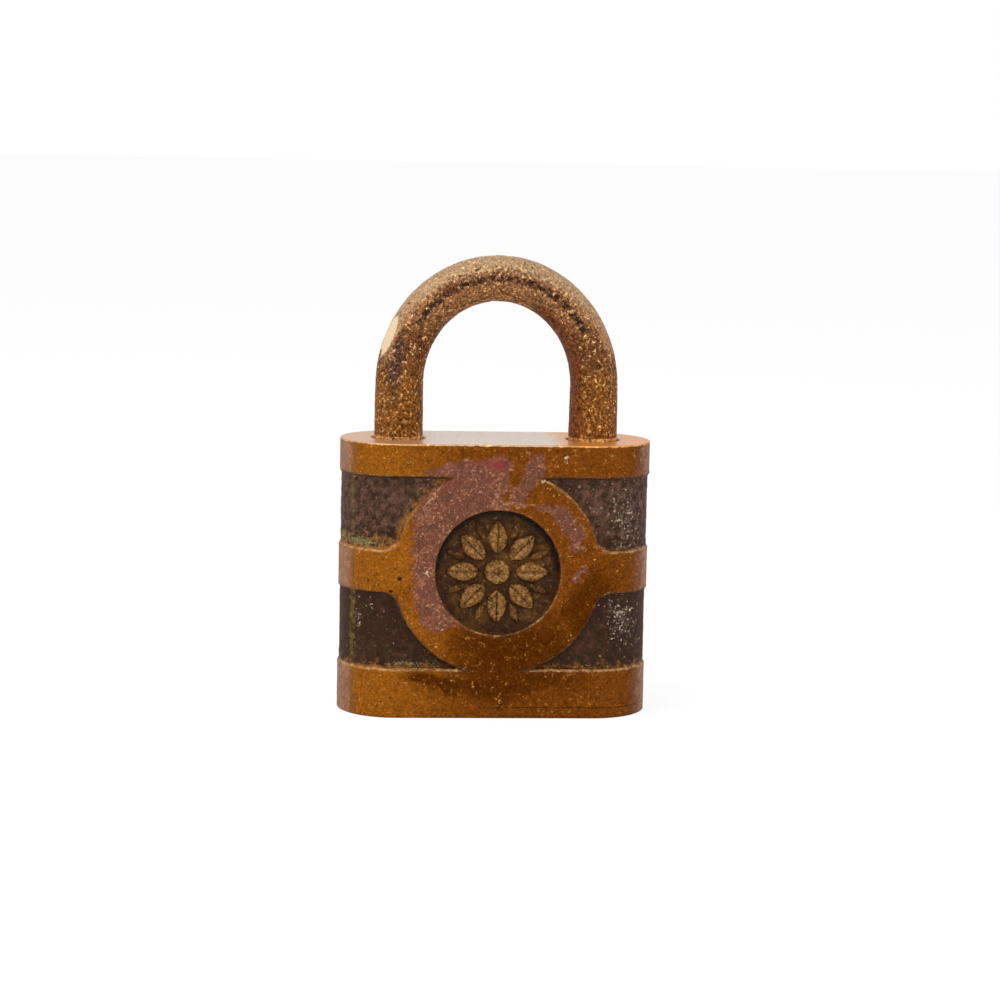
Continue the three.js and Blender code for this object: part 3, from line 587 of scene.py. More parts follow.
def case_masks(piece):
    """Numbers that tell the material where panels, wear, grime and old paint lie, and where the painted
    highlights, painted shade and painted reflections go.
    """
    x, y, z = vertices_mm(piece).T
    up = facing_up(piece)
    beyond = np.maximum(np.abs(x) - LEG_X, 0)
    below_skin = END_RADIUS - np.hypot(beyond, y)
    skin_shown = (below_skin < SKIN) & (z < CASE_TOP - 0.05) & (z > 0.1)
    front = (y < 0) & skin_shown
    flat = (np.abs(y) > 0.5 * END_RADIUS) & skin_shown
    outside = raised_distance(x, z)
    faces_up = smooth((up - 0.12) / 0.4)
    round_edge = np.hypot(x, z - BAND_CENTRE)
    # Painted highlight: a thin bright line along the top edge
    top_edge = smooth((z - CASE_TOP + 0.4) / 0.2)
    angle = np.degrees(np.arcsin(np.clip(beyond / END_RADIUS, 0, 1)))
    start, length = np.where((x < 0)[:, None], LEFT_END_REFLECTION, RIGHT_END_REFLECTION).T
    # Painted shade: darker on faces that turn down, and in the groove under the recess wall, more so on
    # its upper half
    under = np.maximum(0.7 * smooth((-up - 0.3) / 0.6), dirt_and_shade_in_groove(y, z, round_edge))
    masks = {
        "hollow": smooth((outside - 0.4 * faces_up + 0.15) / 0.35) * skin_shown,
        "under": under * flat,
        "rim": worn_and_highlit_edges(outside, round_edge, faces_up, flat) * skin_shown,
        "lip": top_edge * skin_shown,
        "recess": smooth((RECESS_RADIUS + 0.02 - round_edge) / 0.3) * flat,
        "relief": rosette_height(x, z) / RELIEF * front,
        "bare": rubbed_enamel_and_fillet_light(x, z, outside, round_edge) * front * (outside > 0),
        # Painted reflection: an olive line and a pale tone at the round ends, placed by the angle
        # around them
        "reflection_streak": np.exp(-((angle - REFLECTION_STREAK_ANGLE) / 5) ** 2) * np.where(x < 0, 1, 0.4) * skin_shown,
        "ends": 1.25 * smooth((angle - start) / length) * skin_shown,
        "top": (z > CASE_TOP - 0.1) * 1.0,
        "inside": np.where(skin_shown | (z > CASE_TOP - 0.5) | (z < 0.05), 0.0, 1.0),
    }
    for name, patches in (("paint", PAINT_PATCHES), ("crimson", CRIMSON_PATCHES)):
        depth = np.max([patch_depth(x, z, corners) for corners in patches], axis=0)
        masks[name] = np.clip(0.65 + depth / 1.6, 0, 1.6) * front
    for name, ovals in (("fleck", FLECKS), ("crust", CRUSTS), ("speckled", SPECKLED),
                        ("dark", DARK_STAINS), ("pit", PITS), ("scuff", SCUFFS),
                        ("scratch", SCRATCHES)):
        masks[name] = np.max([spot(x, z, *place) for place in ovals], axis=0) * front
    for name, values in masks.items():
        set_mask(piece, name, values.astype(float))


def make_plate():
    marks = [
        plate_low[2], plate_low[2] + EDGE_BREAK * EDGE_SHARE, plate_low[2] + EDGE_BREAK,
        plate_high[2],
    ]
    points, faces = skin(marks, sunk=False)
    piece = mesh_object("base_plate", points, faces)
    plug_hole = rod(plug_high[0] + RUNNING, -CUT_THROUGH, plate_high[2] + CUT_THROUGH, (0, 0, 0),
                    sides=64)
    cut(piece, [plug_hole] + rivet_cutters())
    smooth_surface(piece)
    case_masks(piece)
    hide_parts("bottom_plate")
    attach(piece, "case")
    return piece


def make_pin_end():
    """The peened end of the pin that holds the cylinder, flush with the front."""
    face = -END_RADIUS
    crown = ((0.5, 0), (0.15, 0.03), (0, 0.1))
    outline = [(PIN_RADIUS - inset, face + drop) for inset, drop in crown]
    outline.append((PIN_RADIUS, pin_high[1]))
    vertices, faces = lathe(outline, (PIN_CENTRE[0], 0, PIN_CENTRE[2]), "Y")
    piece = mesh_object("pin_peened_end", vertices, faces)
    smooth_surface(piece)
    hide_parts("cylinder_pin")
    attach(piece, "case")
    return piece


def make_spring(name, node, wire, turns):
    """A coil spring along X that stretches between the two bodies that it presses on."""
    low, high = box_mm(node)
    radius = (high[1] - low[1]) / 2 - wire
    middle = (low + high) / 2
    around = 2 * math.pi * np.arange(WIRE_SIDES) / WIRE_SIDES
    rows = []
    for share in np.linspace(0, 1, turns * STEPS_PER_TURN + 1):
        angle = 2 * math.pi * turns * share
        closing = 0.6 * math.sin(2 * math.pi * share) / (2 * math.pi)
        x = low[0] + wire + (high[0] - low[0] - 2 * wire) * (share - closing)
        reach = radius + wire * np.cos(around)
        rows.append(np.stack([
            x + wire * np.sin(around), middle[1] + reach * math.cos(angle),
            middle[2] + reach * math.sin(angle),
        ], axis=1))
    piece = mesh_object(name, np.concatenate(rows), tube_faces(len(rows), WIRE_SIDES))
    smooth_surface(piece)
    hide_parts(node)
    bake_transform(piece)
    return piece


# The shackle

FILED_ANGLE = 156.5
FILED_TILT = 24
FILED_CUT = 0.21
GRIME_MIDDLE = 0.25  # middle of the dirty line, outwards from the bar's middle
GRIME_HALF_WIDTH = 1.1
GRIME_SPAN = (24, 152)  # degrees along the bow
MAUVE_STAIN = (-16.9, 58.0, 1.5, 7.5, -4)


def bar_radius(height):
    """The bar's radius where its middle is at a height: it thins evenly up to the top of the bow."""
    share = np.clip((height - CASE_TOP) / (BOW_CENTRE + BOW_RISE - CASE_TOP), 0, 1)
    return SHACKLE_RADIUS - BOW_THINNING * share


def bar_stations():
    """Centre, outward direction and radius of each ring along the bent bar, heel end first."""
    def leg(side, height, radius):
        return (side * LEG_X, height, side, 0.0, radius)

    full, broken = SHACKLE_RADIUS, EDGE_BREAK
    collar_top = HEEL_END + COLLAR_HEIGHT
    stations = [
        leg(-1, HEEL_END, full - broken), leg(-1, HEEL_END + broken, full),
        leg(-1, collar_top - broken, full), leg(-1, collar_top, NECK_RADIUS),
        leg(-1, NECK_TOP, NECK_RADIUS), leg(-1, NECK_TOP + broken, full),
    ]
    straight = np.arange(CASE_TOP - 1, BOW_CENTRE, BAR_STEP)
    stations += [leg(-1, height, bar_radius(height)) for height in straight]
    for angle in np.arange(math.pi, 0, -BAR_STEP / LEG_X):
        across, above = math.cos(angle), math.sin(angle)
        x, z = LEG_X * across, BOW_CENTRE + BOW_RISE * above
        slope = math.hypot(across / LEG_X, above / BOW_RISE)
        out_x, out_z = across / LEG_X / slope, above / BOW_RISE / slope
        stations.append((x, z, out_x, out_z, bar_radius(z)))
    stations += [leg(1, height, bar_radius(height)) for height in straight[::-1]]
    stations += [leg(1, height, full) for height in (40, NOTCH_HIGH + 1, NOTCH_LOW - 0.3)]
    stations += [leg(1, TOE_TIP + TOE_CHAMFER, full), leg(1, TOE_TIP, full - TOE_CHAMFER)]
    return stations


def make_shackle():
    around = 2 * math.pi * np.arange(BAR_SIDES) / BAR_SIDES
    rows = []
    for x, z, out_x, out_z, radius in bar_stations():
        across = radius * np.cos(around)
        rows.append(np.stack([x + out_x * across, radius * np.sin(around), z + out_z * across], axis=1))
    points = corrode(np.concatenate(rows))
    piece = mesh_object("shackle_bar", points, tube_faces(len(rows), BAR_SIDES))
    notch = block(
        (LEG_X - 2 * SHACKLE_RADIUS, -2 * SHACKLE_RADIUS, NOTCH_LOW),
        (LEG_X - SHACKLE_RADIUS + NOTCH_DEPTH, 2 * SHACKLE_RADIUS, NOTCH_HIGH),
    )
    cut(piece, [notch])
    smooth_surface(piece)
    shackle_masks(piece)
    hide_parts("shackle")
    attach(piece, "shackle")
    return piece


def bar_place(points):
    """Nearest middle of the bar to each point, and its angle along the bow, 180 at the heel."""
    x, y, z = points.T
    angle = np.arctan2(np.maximum(z - BOW_CENTRE, 0) / BOW_RISE, x / LEG_X)
    for _ in range(4):
        miss_x = x - LEG_X * np.cos(angle)
        miss_z = z - BOW_CENTRE - BOW_RISE * np.sin(angle)
        along_x, along_z = -LEG_X * np.sin(angle), BOW_RISE * np.cos(angle)
        angle += (miss_x * along_x + miss_z * along_z) / (along_x ** 2 + along_z ** 2)
    on_bow = (z > BOW_CENTRE) & (angle > 0) & (angle < math.pi)
    middle = np.stack([
        np.where(on_bow, LEG_X * np.cos(angle), np.sign(x) * LEG_X), 0 * y,
        np.where(on_bow, BOW_CENTRE + BOW_RISE * np.sin(angle), z),
    ], axis=1)
    return middle, np.degrees(angle)


def filed_flat():
    """Middle of the bow's section at the filed spot, and the direction that the flat faces."""
    angle, tilt = math.radians(FILED_ANGLE), math.radians(FILED_TILT)
    middle = np.array([LEG_X * math.cos(angle), 0, BOW_CENTRE + BOW_RISE * math.sin(angle)])
    out = np.array([math.cos(angle) / LEG_X, 0, math.sin(angle) / BOW_RISE])
    out /= np.linalg.norm(out)
    return middle, out * math.cos(tilt) - np.array([0, math.sin(tilt), 0])


def filed_depth(points):
    """How far each point stands out beyond the plane of the filed flat, in mm."""
    middle, facing = filed_flat()
    return (points - middle) @ facing - (bar_radius(middle[2]) - FILED_CUT)


def corrode(points):
    """Etched pits and lumps over the part of the bar that shows, and one filed flat."""
    middle, _ = bar_place(points)
    away = points - middle
    away /= np.maximum(np.linalg.norm(away, axis=1, keepdims=True), 1e-6)
    shown = smooth((points[:, 2] - CASE_TOP + 0.8) / 0.8)
    pits = smooth((grain(points, 1.0, 4, 2) - 0.2) / 0.6)
    pores = smooth((grain(points, 0.5, 3, 21) - 0.25) / 0.5)
    height = 0.05 * grain(points, 2.4, 4, 7) - 0.10 * pits - 0.09 * pores
    crumbs = smooth((grain(points, 0.6, 3, 40) + 0.1) / 0.5)
    height -= 0.14 * dirty_line(points) * crumbs
    points = points + away * (height * shown)[:, None]
    _, facing = filed_flat()
    return points - np.maximum(filed_depth(points), 0)[:, None] * facing


def bow_across(points):
    """How far each point lies outwards from the bar's middle line, seen from the front."""
    middle, _ = bar_place(points)
    out = middle - np.array([0, 0, BOW_CENTRE])
    out = out * np.array([1, 0, (LEG_X / BOW_RISE) ** 2])
    out /= np.maximum(np.linalg.norm(out, axis=1, keepdims=True), 1e-6)
    return ((points - middle) * out).sum(axis=1)


def dirty_line(points):
    """1 in the middle of the dirty line along the front of the bow, fading to its sides and ends."""
    _, angle = bar_place(points)
    start, end = GRIME_SPAN
    along = smooth((angle - start) / 8) * smooth((end - angle) / 8)
    on_front = (points[:, 1] < 0) & (points[:, 2] > BOW_CENTRE)
    return np.exp(-((bow_across(points) - GRIME_MIDDLE) / GRIME_HALF_WIDTH) ** 4) * along * on_front


def shackle_masks(piece):
    """Numbers for the filed flat, the dirty line, dust with painted light on the upper faces, the
    painted lighter upper bow, the smooth inside and the legs.
    """
    points = vertices_mm(piece)
    shown = points[:, 2] > CASE_TOP - 1
    masks = {
        "filed": smooth((filed_depth(points) + 0.08) / 0.06),
        "grime": dirty_line(points),
        # Dust and painted light from above on faces that turn up
        "dust_and_top_light": smooth((facing_up(piece) - 0.02) / 0.7),
        "smoothed": smooth((-bow_across(points) - 0.8) / 2.2) * smooth(points[:, 0] / 6 - 0.2),
        "gold": smooth((62 - points[:, 2]) / 8),
        # Painted light: the upper bow lighter, as if lit more from above
        "bow": smooth((points[:, 2] - 58) / 8),
        # Lighter on the outer side of the upper bow: painted light from above, and smoother rubbed
        # metal
        "rubbed": smooth((bow_across(points) - 1.5) / 1.2) * smooth((points[:, 2] - BOW_CENTRE) / 9),
        "mauve": spot(points[:, 0], points[:, 2], *MAUVE_STAIN) * (points[:, 1] < 0),
    }
    for name, values in masks.items():
        set_mask(piece, name, values * shown)


# Materials

def srgb(code):
    """A hex colour as written on screen, as the linear values that a shader takes."""
    parts = [int(code[i:i + 2], 16) / 255 for i in (1, 3, 5)]
    return tuple(p / 12.92 if p <= 0.04045 else ((p + 0.055) / 1.055) ** 2.4 for p in parts) + (1,)


def add_node(tree, kind, settings=None, **sockets):
    """Adds a node. Settings are its own properties, and sockets get a value or another output."""
    made = tree.nodes.new(kind)
    for key, value in (settings or {}).items():
        setattr(made, key, value)
    for key, value in sockets.items():
        spaced = key.replace("_", " ")
        ends = [s for s in made.inputs if s.enabled and (s.identifier == key or s.name == spaced)]
        if isinstance(value, bpy.types.Node):
            value = next(s for s in value.outputs if s.enabled)
        if isinstance(value, bpy.types.NodeSocket):
            tree.links.new(value, ends[0])
        else:
            ends[0].default_value = value
    return made


def new_material(name):
    """An empty material with its shader and object coordinates in millimetres."""
    material = bpy.data.materials.new(name)
    material.use_nodes = True
    tree = material.node_tree
    tree.nodes.clear()
    place = add_node(tree, "ShaderNodeTexCoord")
    coords = add_node(tree, "ShaderNodeVectorMath", {"operation": "SCALE"},
                      Vector=place.outputs["Object"], Scale=1000.0)
    return material, tree, coords


def finish_material(tree, **sockets):
    shader = add_node(tree, "ShaderNodeBsdfPrincipled", **sockets)
    add_node(tree, "ShaderNodeOutputMaterial", Surface=shader)
    return shader


def ragged(tree, mask, noise, low=0.93, high=1.03):
    """A field that is 1 where a mask outweighs a noise, so that the edge between them is ragged."""
    both = add_node(tree, "ShaderNodeMath", {"operation": "ADD"}, Value=mask, Value_001=noise)
    return add_node(tree, "ShaderNodeMapRange", {"interpolation_type": "SMOOTHSTEP"},
                    Value=both, From_Min=low, From_Max=high)


def grain_noises(tree, mm, roughness, sizes):
    """Noises by name, each with its grain's size in millimetres and its levels of detail."""
    return {
        name: add_node(tree, "ShaderNodeTexNoise", Vector=mm, Scale=1 / size, Detail=detail,
                       Roughness=roughness).outputs[0]
        for name, size, detail in sizes
    }


def vertex_masks(tree, names):
    """The numbers that the mesh carries on its vertices."""
    return {
        name: add_node(tree, "ShaderNodeAttribute", {"attribute_name": name}).outputs["Fac"]
        for name in names
    }


def covered_with(tree, colour, layers):
    """A colour under layers, each of them a field of 0 to 1 and a colour or a hex code."""
    for field, layer in layers:
        colour = add_node(tree, "ShaderNodeMix", {"data_type": "RGBA"}, Factor_Float=field,
                          A_Color=colour, B_Color=srgb(layer) if isinstance(layer, str) else layer)
    return colour


def handled_brass(tree, noises, masks, rightward):
    """Bare metal: golden at the left, browner to the right, with dark and bright specks."""
    mottled = noises["mottled"]
    return covered_with(tree, srgb("#a4611a"), (
        (ragged(tree, rightward, noises["broad"], 0.55, 1.2), "#834713"),
        (ragged(tree, masks["dark"], noises["cloudy"], 0.75, 1.25), "#5e2f07"),
        (ragged(tree, noises["grain"], noises["cloudy"], 1.02, 1.35), "#54300b"),
        (ragged(tree, noises["fine"], noises["grain"], 1.15, 1.4), "#c28f46"),
        (ragged(tree, masks["scuff"], mottled, 1.0, 1.7), "#a5835a"),
        # Painted reflection at the round ends: an olive line and a pale pinkish tone
        (ragged(tree, masks["reflection_streak"], mottled, 0.9, 2.0), "#705414"),
        (ragged(tree, masks["ends"], mottled, 0.9, 1.8), "#9b6c4e"),
        # Worn bright edges, and a painted highlight on edges and walls that face up
        (ragged(tree, masks["rim"], mottled, 1.0, 1.7), "#b98a4a"),
        # Painted highlight along the top edge
        (ragged(tree, masks["lip"], mottled, 1.0, 1.5), "#dca564"),
        # Painted shade on faces that turn down and in the recess groove
        (ragged(tree, masks["under"], mottled, 1.0, 1.7), "#3a220c"),
    ))


def old_paint(tree, noises, masks):
    """Dull pink paint with pale specks and a long scratch, and streaks of crimson."""
    return covered_with(tree, srgb("#783f24"), (
        (ragged(tree, noises["cloudy"], noises["fine"], 0.95, 1.3), "#996040"),
        (ragged(tree, noises["fine"], noises["dust"], 1.15, 1.4), "#c6966e"),
        (ragged(tree, masks["crimson"], noises["speckled"], 1.05, 2.1), "#8f2a22"),
        (ragged(tree, masks["scratch"], noises["fine"], 1.05, 1.2), "#c98a78"),
    ))


def panel_enamel(tree, noises, masks, upward):
    """Dark enamel: brown, olive and purple, rubbed to tan by the boss where painted light stands for
    its lit fillet, with crusts and specks, painted shade on faces that turn down and at the round ends,
    and a painted olive reflection line.
    """
    mottled = noises["mottled"]
    specks = add_node(tree, "ShaderNodeMath", {"operation": "MULTIPLY_ADD"},
                      Value=masks["speckled"], Value_001=0.26, Value_002=noises["dust"])
    return covered_with(tree, srgb("#3a200c"), (
        (ragged(tree, noises["broad"], noises["cloudy"], 0.9, 1.2), "#3b2b0e"),
        (ragged(tree, noises["grain"], noises["broad"], 0.98, 1.25), "#4e2c20"),
        # Painted shade at the round ends, and a painted olive reflection line across them
        (ragged(tree, masks["ends"], mottled, 0.7, 1.5), "#3e200c"),
        (ragged(tree, masks["reflection_streak"], mottled, 0.8, 1.9), "#6e5a20"),
        (ragged(tree, upward, mottled, 0.8, 1.9), "#6c4c3c"),
        # Rubbed enamel, and by the boss a painted light that stands for its lit fillet
        (ragged(tree, masks["bare"], mottled, 0.95, 1.65), "#8e5e24"),
        (ragged(tree, masks["crust"], noises["speckled"], 1.0, 1.4), "#7e7248"),
        (ragged(tree, masks["speckled"], mottled, 1.0, 2.0), "#6a5a4c"),
        (ragged(tree, noises["dust"], noises["fine"], 1.22, 1.45), "#7c5c42"),
        (ragged(tree, specks, noises["fine"], 1.27, 1.46), "#b5a28c"),
        # Painted shade on faces that turn down
        (ragged(tree, masks["under"], mottled, 0.9, 1.7), "#22140a"),
    ))


def recess_dirt_and_shade(tree, noises, masks):
    """Brown dirt, rubbed off the high parts of the rosette, with ochre and grey patches, and painted
    shade in the groove under the recess wall.
    """
    return covered_with(tree, srgb("#442609"), (
        (ragged(tree, noises["broad"], noises["cloudy"], 0.95, 1.2), "#684316"),
        (ragged(tree, masks["relief"], noises["mottled"], 0.8, 1.6), "#7e5222"),
        (ragged(tree, masks["relief"], noises["speckled"], 1.1, 2.0), "#a67a42"),
        (ragged(tree, noises["grain"], noises["fine"], 1.12, 1.4), "#93745a"),
        # Painted shade in the groove under the recess wall, with dirt
        (ragged(tree, masks["under"], noises["mottled"], 0.7, 1.6), "#180c05"),
    ))


def weathered_brass():
    """Cast brass, polished by handling and browned by age, under remains of old paint.

    The eye sees golden ochre where it is worn, red-brown where it is tarnished, dark enamel in
    the panels, and dull pink and crimson paint left in patches. Casting grit finer than 0.36 mm
    wouldn't show, so it is drawn that coarse.
    """
    material, tree, mm = new_material("weathered_cast_brass")
    noises = grain_noises(tree, mm, 0.62, (
        ("broad", 8, 3), ("cloudy", 2.6, 5), ("grain", 1.0, 5), ("fine", 0.36, 3), ("dust", 0.55, 1),
    ))
    for name, source in (("mottled", "grain"), ("speckled", "fine")):
        noises[name] = add_node(tree, "ShaderNodeMapRange", Value=noises[source],
                                From_Min=0.3, From_Max=0.7)
    masks = vertex_masks(tree, (
        "hollow", "rim", "lip", "recess", "relief", "bare", "reflection_streak", "ends", "top", "scuff",
        "inside", "paint", "crimson", "fleck", "crust", "speckled", "dark", "pit", "under", "scratch",
    ))
    place = add_node(tree, "ShaderNodeSeparateXYZ", Vector=mm)
    rightward, upward, tan_end, orange_end = (
        add_node(tree, "ShaderNodeMapRange", Value=place.outputs[axis],
                 From_Min=start, From_Max=end, To_Max=most)
        for axis, start, end, most in (
            ("X", -20.0, -2.0, 0.75), ("Z", 24.0, 32.0, 0.8), ("X", -9.0, -15.0, 1.0),
            ("X", 7.5, 12.5, 1.0),
        )
    )
    paint = ragged(tree, masks["paint"], noises["mottled"], 1.0, 1.5)
    colour = covered_with(tree, handled_brass(tree, noises, masks, rightward), (
        (paint, old_paint(tree, noises, masks)),
        (masks["hollow"], panel_enamel(tree, noises, masks, upward)),
        (masks["recess"], recess_dirt_and_shade(tree, noises, masks)),
        (ragged(tree, masks["pit"], noises["fine"]), "#3a1c08"),
        (ragged(tree, masks["scratch"], noises["fine"], 1.2, 1.4), "#c09468"),
        (ragged(tree, masks["fleck"], noises["speckled"], 0.98, 1.35), "#d8c0a0"),
    ))
    for name, least, most in (("fine", 0.58, 1.42), ("grain", 0.76, 1.24), ("cloudy", 0.86, 1.14)):
        shade = add_node(tree, "ShaderNodeMapRange", Value=noises[name],
                         From_Min=0.3, From_Max=0.7, To_Min=least, To_Max=most)
        colour = add_node(tree, "ShaderNodeVectorMath", {"operation": "SCALE"},
                          Vector=colour, Scale=shade)

    # The top face is rubbed smooth. Its pale grey is a painted reflection of the bright surroundings
    # that it mirrors at a low angle. It is duller and tan at the left, and the orange round the free
    # leg is a painted reflection of that leg.
    tanned = ragged(tree, tan_end, noises["grain"], 0.6, 1.4)
    leg_reflection_orange = ragged(tree, orange_end, noises["grain"], 0.6, 1.4)
    top = covered_with(tree, srgb("#ccb49c"), ((tanned, "#cf9c70"), (leg_reflection_orange, "#e2923e")))
    colour = covered_with(tree, colour, ((masks["top"], top), (masks["inside"], "#7d5d2c")))
    tan_and_orange = add_node(tree, "ShaderNodeMath", {"operation": "MAXIMUM"},
                       Value=tanned, Value_001=leg_reflection_orange)
    dull_top = add_node(tree, "ShaderNodeMapRange", Value=tan_and_orange, To_Min=0.4, To_Max=0.7)
    dull_top = add_node(tree, "ShaderNodeMath", {"operation": "MULTIPLY"},
                        Value=masks["top"], Value_001=dull_top)

    # What covers the metal, what has turned it to dull crust, and the painted highlights and painted
    # reflections take its mirror away.
    covered = paint
    for field in (masks["hollow"], masks["recess"], masks["ends"], dull_top, masks["rim"]):
        covered = add_node(tree, "ShaderNodeMath", {"operation": "MAXIMUM"},
                           Value=covered, Value_001=field)
    metallic = add_node(tree, "ShaderNodeMapRange", Value=covered, To_Min=1.0, To_Max=0.1)
    rough = add_node(tree, "ShaderNodeMapRange", Value=covered, To_Min=0.36, To_Max=0.6)
    rough = add_node(tree, "ShaderNodeMath", {"operation": "MULTIPLY_ADD"},
                     Value=masks["top"], Value_001=-0.2, Value_002=rough)
    sunk = add_node(tree, "ShaderNodeMath", {"operation": "MAXIMUM"},
                    Value=masks["hollow"], Value_001=masks["recess"])
    gloss = add_node(tree, "ShaderNodeMapRange", Value=sunk, To_Min=0.5, To_Max=0.2)
    relief = add_node(tree, "ShaderNodeMath", {"operation": "MULTIPLY_ADD"},
                      Value=noises["grain"], Value_001=0.8, Value_002=noises["fine"])
    bump = add_node(tree, "ShaderNodeBump", Height=relief, Strength=0.4, Distance=0.00015)
    finish_material(tree, Base_Color=colour, Metallic=metallic, Roughness=rough,
                    Specular_IOR_Level=gloss, Normal=bump)
    return material


def rubbed_mouth(tree, mm):
    """The short length of each leg that is rubbed bright where it enters the case."""
    height = add_node(tree, "ShaderNodeSeparateXYZ", Vector=mm).outputs["Z"]
    above = add_node(tree, "ShaderNodeMapRange", Value=height,
                     From_Min=CASE_TOP + 0.6, From_Max=CASE_TOP + 0.3)
    below = add_node(tree, "ShaderNodeMapRange", Value=height,
                     From_Min=CASE_TOP - 1.8, From_Max=CASE_TOP - 0.4)
    return add_node(tree, "ShaderNodeMath", {"operation": "MULTIPLY"}, Value=above, Value_001=below)


def corroded_bronze():
    """Cast bronze bar, etched by weather.

    The eye sees dark pits between pale and ochre grains half a millimetre wide, redder in places,
    pale with dust and painted light from above on top and along the bow, golden down the legs, with a
    dark line along the bow and one bright filed flat.
    """
    material, tree, mm = new_material("corroded_bronze")
    noises = grain_noises(tree, mm, 0.68, (
        ("broad", 6, 3), ("patches", 1.8, 5), ("grit", 0.45, 3), ("flakes", 0.9, 4),
        ("specks", 0.6, 4),
    ))
    masks = vertex_masks(
        tree, ("filed", "grime", "dust_and_top_light", "smoothed", "gold", "bow", "rubbed", "mauve")
    )
    patches, flakes = noises["patches"], noises["flakes"]
    colour = covered_with(tree, srgb("#7c4a22"), (
        # Painted light: the upper bow lighter, as if lit more from above
        (ragged(tree, masks["bow"], patches, 0.9, 1.7), "#ab774a"),
        (ragged(tree, noises["broad"], patches, 0.97, 1.3), "#80431f"),
        (ragged(tree, masks["gold"], patches, 0.9, 1.7), "#975c14"),
        (ragged(tree, masks["mauve"], patches, 0.85, 1.35), "#5e3a2a"),
        # Lighter on the outer side of the upper bow: painted light from above, and smoother rubbed
        # metal
        (ragged(tree, masks["rubbed"], patches, 0.7, 1.5), "#b47e52"),
        # Dust and painted light from above on faces that turn up
        (ragged(tree, masks["dust_and_top_light"], patches, 0.6, 1.5), "#be9a74"),
        (ragged(tree, flakes, patches, 1.08, 1.35), "#b9884e"),
        (ragged(tree, noises["grit"], flakes, 1.14, 1.34), "#dfb984"),
        (ragged(tree, noises["specks"], flakes, 1.05, 1.25), "#381a08"),
        (ragged(tree, masks["smoothed"], patches, 1.0, 1.6), "#7a401a"),
        (ragged(tree, masks["grime"], noises["specks"], 1.34, 1.58), "#33190a"),
        (ragged(tree, rubbed_mouth(tree, mm), patches, 0.8, 1.2), "#d99c5e"),
        (masks["filed"], "#f6dcb4"),
    ))

    # Pits read dark and grains light, less so where the bow is rubbed and not on the filed flat.
    shade = add_node(tree, "ShaderNodeMapRange", Value=noises["grit"],
                     From_Min=0.36, From_Max=0.64, To_Min=0.3, To_Max=1.7)
    coarse = add_node(tree, "ShaderNodeMapRange", Value=flakes,
                      From_Min=0.34, From_Max=0.66, To_Min=0.7, To_Max=1.3)
    shade = add_node(tree, "ShaderNodeMath", {"operation": "MULTIPLY"}, Value=shade, Value_001=coarse)
    calm = add_node(tree, "ShaderNodeMath", {"operation": "MULTIPLY"},
                    Value=masks["rubbed"], Value_001=0.45)
    calm = add_node(tree, "ShaderNodeMath", {"operation": "MAXIMUM"},
                    Value=calm, Value_001=masks["filed"])
    shade = add_node(tree, "ShaderNodeMix", {"data_type": "FLOAT"}, Factor_Float=calm,
                     A_Float=shade, B_Float=1.0)
    colour = add_node(tree, "ShaderNodeVectorMath", {"operation": "SCALE"}, Vector=colour, Scale=shade)

    rough = add_node(tree, "ShaderNodeMapRange", Value=noises["grit"], To_Min=0.4, To_Max=0.75)
    metallic = add_node(tree, "ShaderNodeMapRange", Value=noises["grit"], To_Min=0.7, To_Max=0.2)
    relief = add_node(tree, "ShaderNodeMath", {"operation": "MULTIPLY_ADD"},
                      Value=flakes, Value_001=0.8, Value_002=noises["grit"])
    bump = add_node(tree, "ShaderNodeBump", Height=relief, Strength=0.6, Distance=0.0002)
    finish_material(tree, Base_Color=colour, Metallic=metallic, Roughness=rough,
                    Specular_IOR_Level=0.3, Normal=bump)
    return material


def turned_metal(name, light, dark, tool_pitch, roughness):
    """Metal turned on a lathe or drawn: tool lines a pitch apart under a thin uneven film.

    Real tool lines lie about 0.1 mm apart and wouldn't show, so the pitch is drawn coarser.
    """
    material, tree, mm = new_material(name)
    film = add_node(tree, "ShaderNodeTexNoise", Vector=mm, Scale=1 / 2.5, Detail=4.0)
    lines = add_node(tree, "ShaderNodeTexWave", {"bands_direction": "Z"}, Vector=mm,
                     Scale=1 / (tool_pitch * 20), Distortion=0.6, Detail=1.0)
    colour = add_node(tree, "ShaderNodeMix", {"data_type": "RGBA"}, Factor_Float=film,
                      A_Color=srgb(light), B_Color=srgb(dark))
    rough = add_node(tree, "ShaderNodeMapRange", Value=film,
                     To_Min=roughness - 0.08, To_Max=roughness + 0.12)
    bump = add_node(tree, "ShaderNodeBump", Height=lines, Strength=0.15, Distance=0.00003)
    finish_material(tree, Base_Color=colour, Metallic=1.0, Roughness=rough, Normal=bump)
    return material


def set_material(piece, material):
    piece.data.materials.clear()
    piece.data.materials.append(material)


def dress(nodes, material):
    for name in nodes:
        set_material(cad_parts[name], material)


# The padlock's pieces in their materials

PINS = range(1, 6)
RIVETS = range(1, 5)

case_body = make_case()
base_plate = make_plate()
pin_end = make_pin_end()
springs = [make_spring("bolt_coil", "bolt_spring", BOLT_SPRING_WIRE, BOLT_SPRING_TURNS)]
for number in PINS:
    springs.append(make_spring(f"pin_coil_{number}", f"pin_spring_{number}", PIN_SPRING_WIRE,
                               PIN_SPRING_TURNS))
shackle_bar = make_shackle()

brass = weathered_brass()
bronze = corroded_bronze()
# Turned brass inside the case, even and yellow
clean_brass = turned_metal("turned_brass", "#b98f45", "#86601f", 0.25, 0.35)
# The same brass, browned by grime on the plug
grimy_brass = turned_metal("grimy_turned_brass", "#8f6a38", "#43301a", 0.25, 0.45)
# Stamped bronze, dull red-brown
old_bronze = turned_metal("stamped_bronze", "#6a3409", "#552809", 0.4, 0.5)
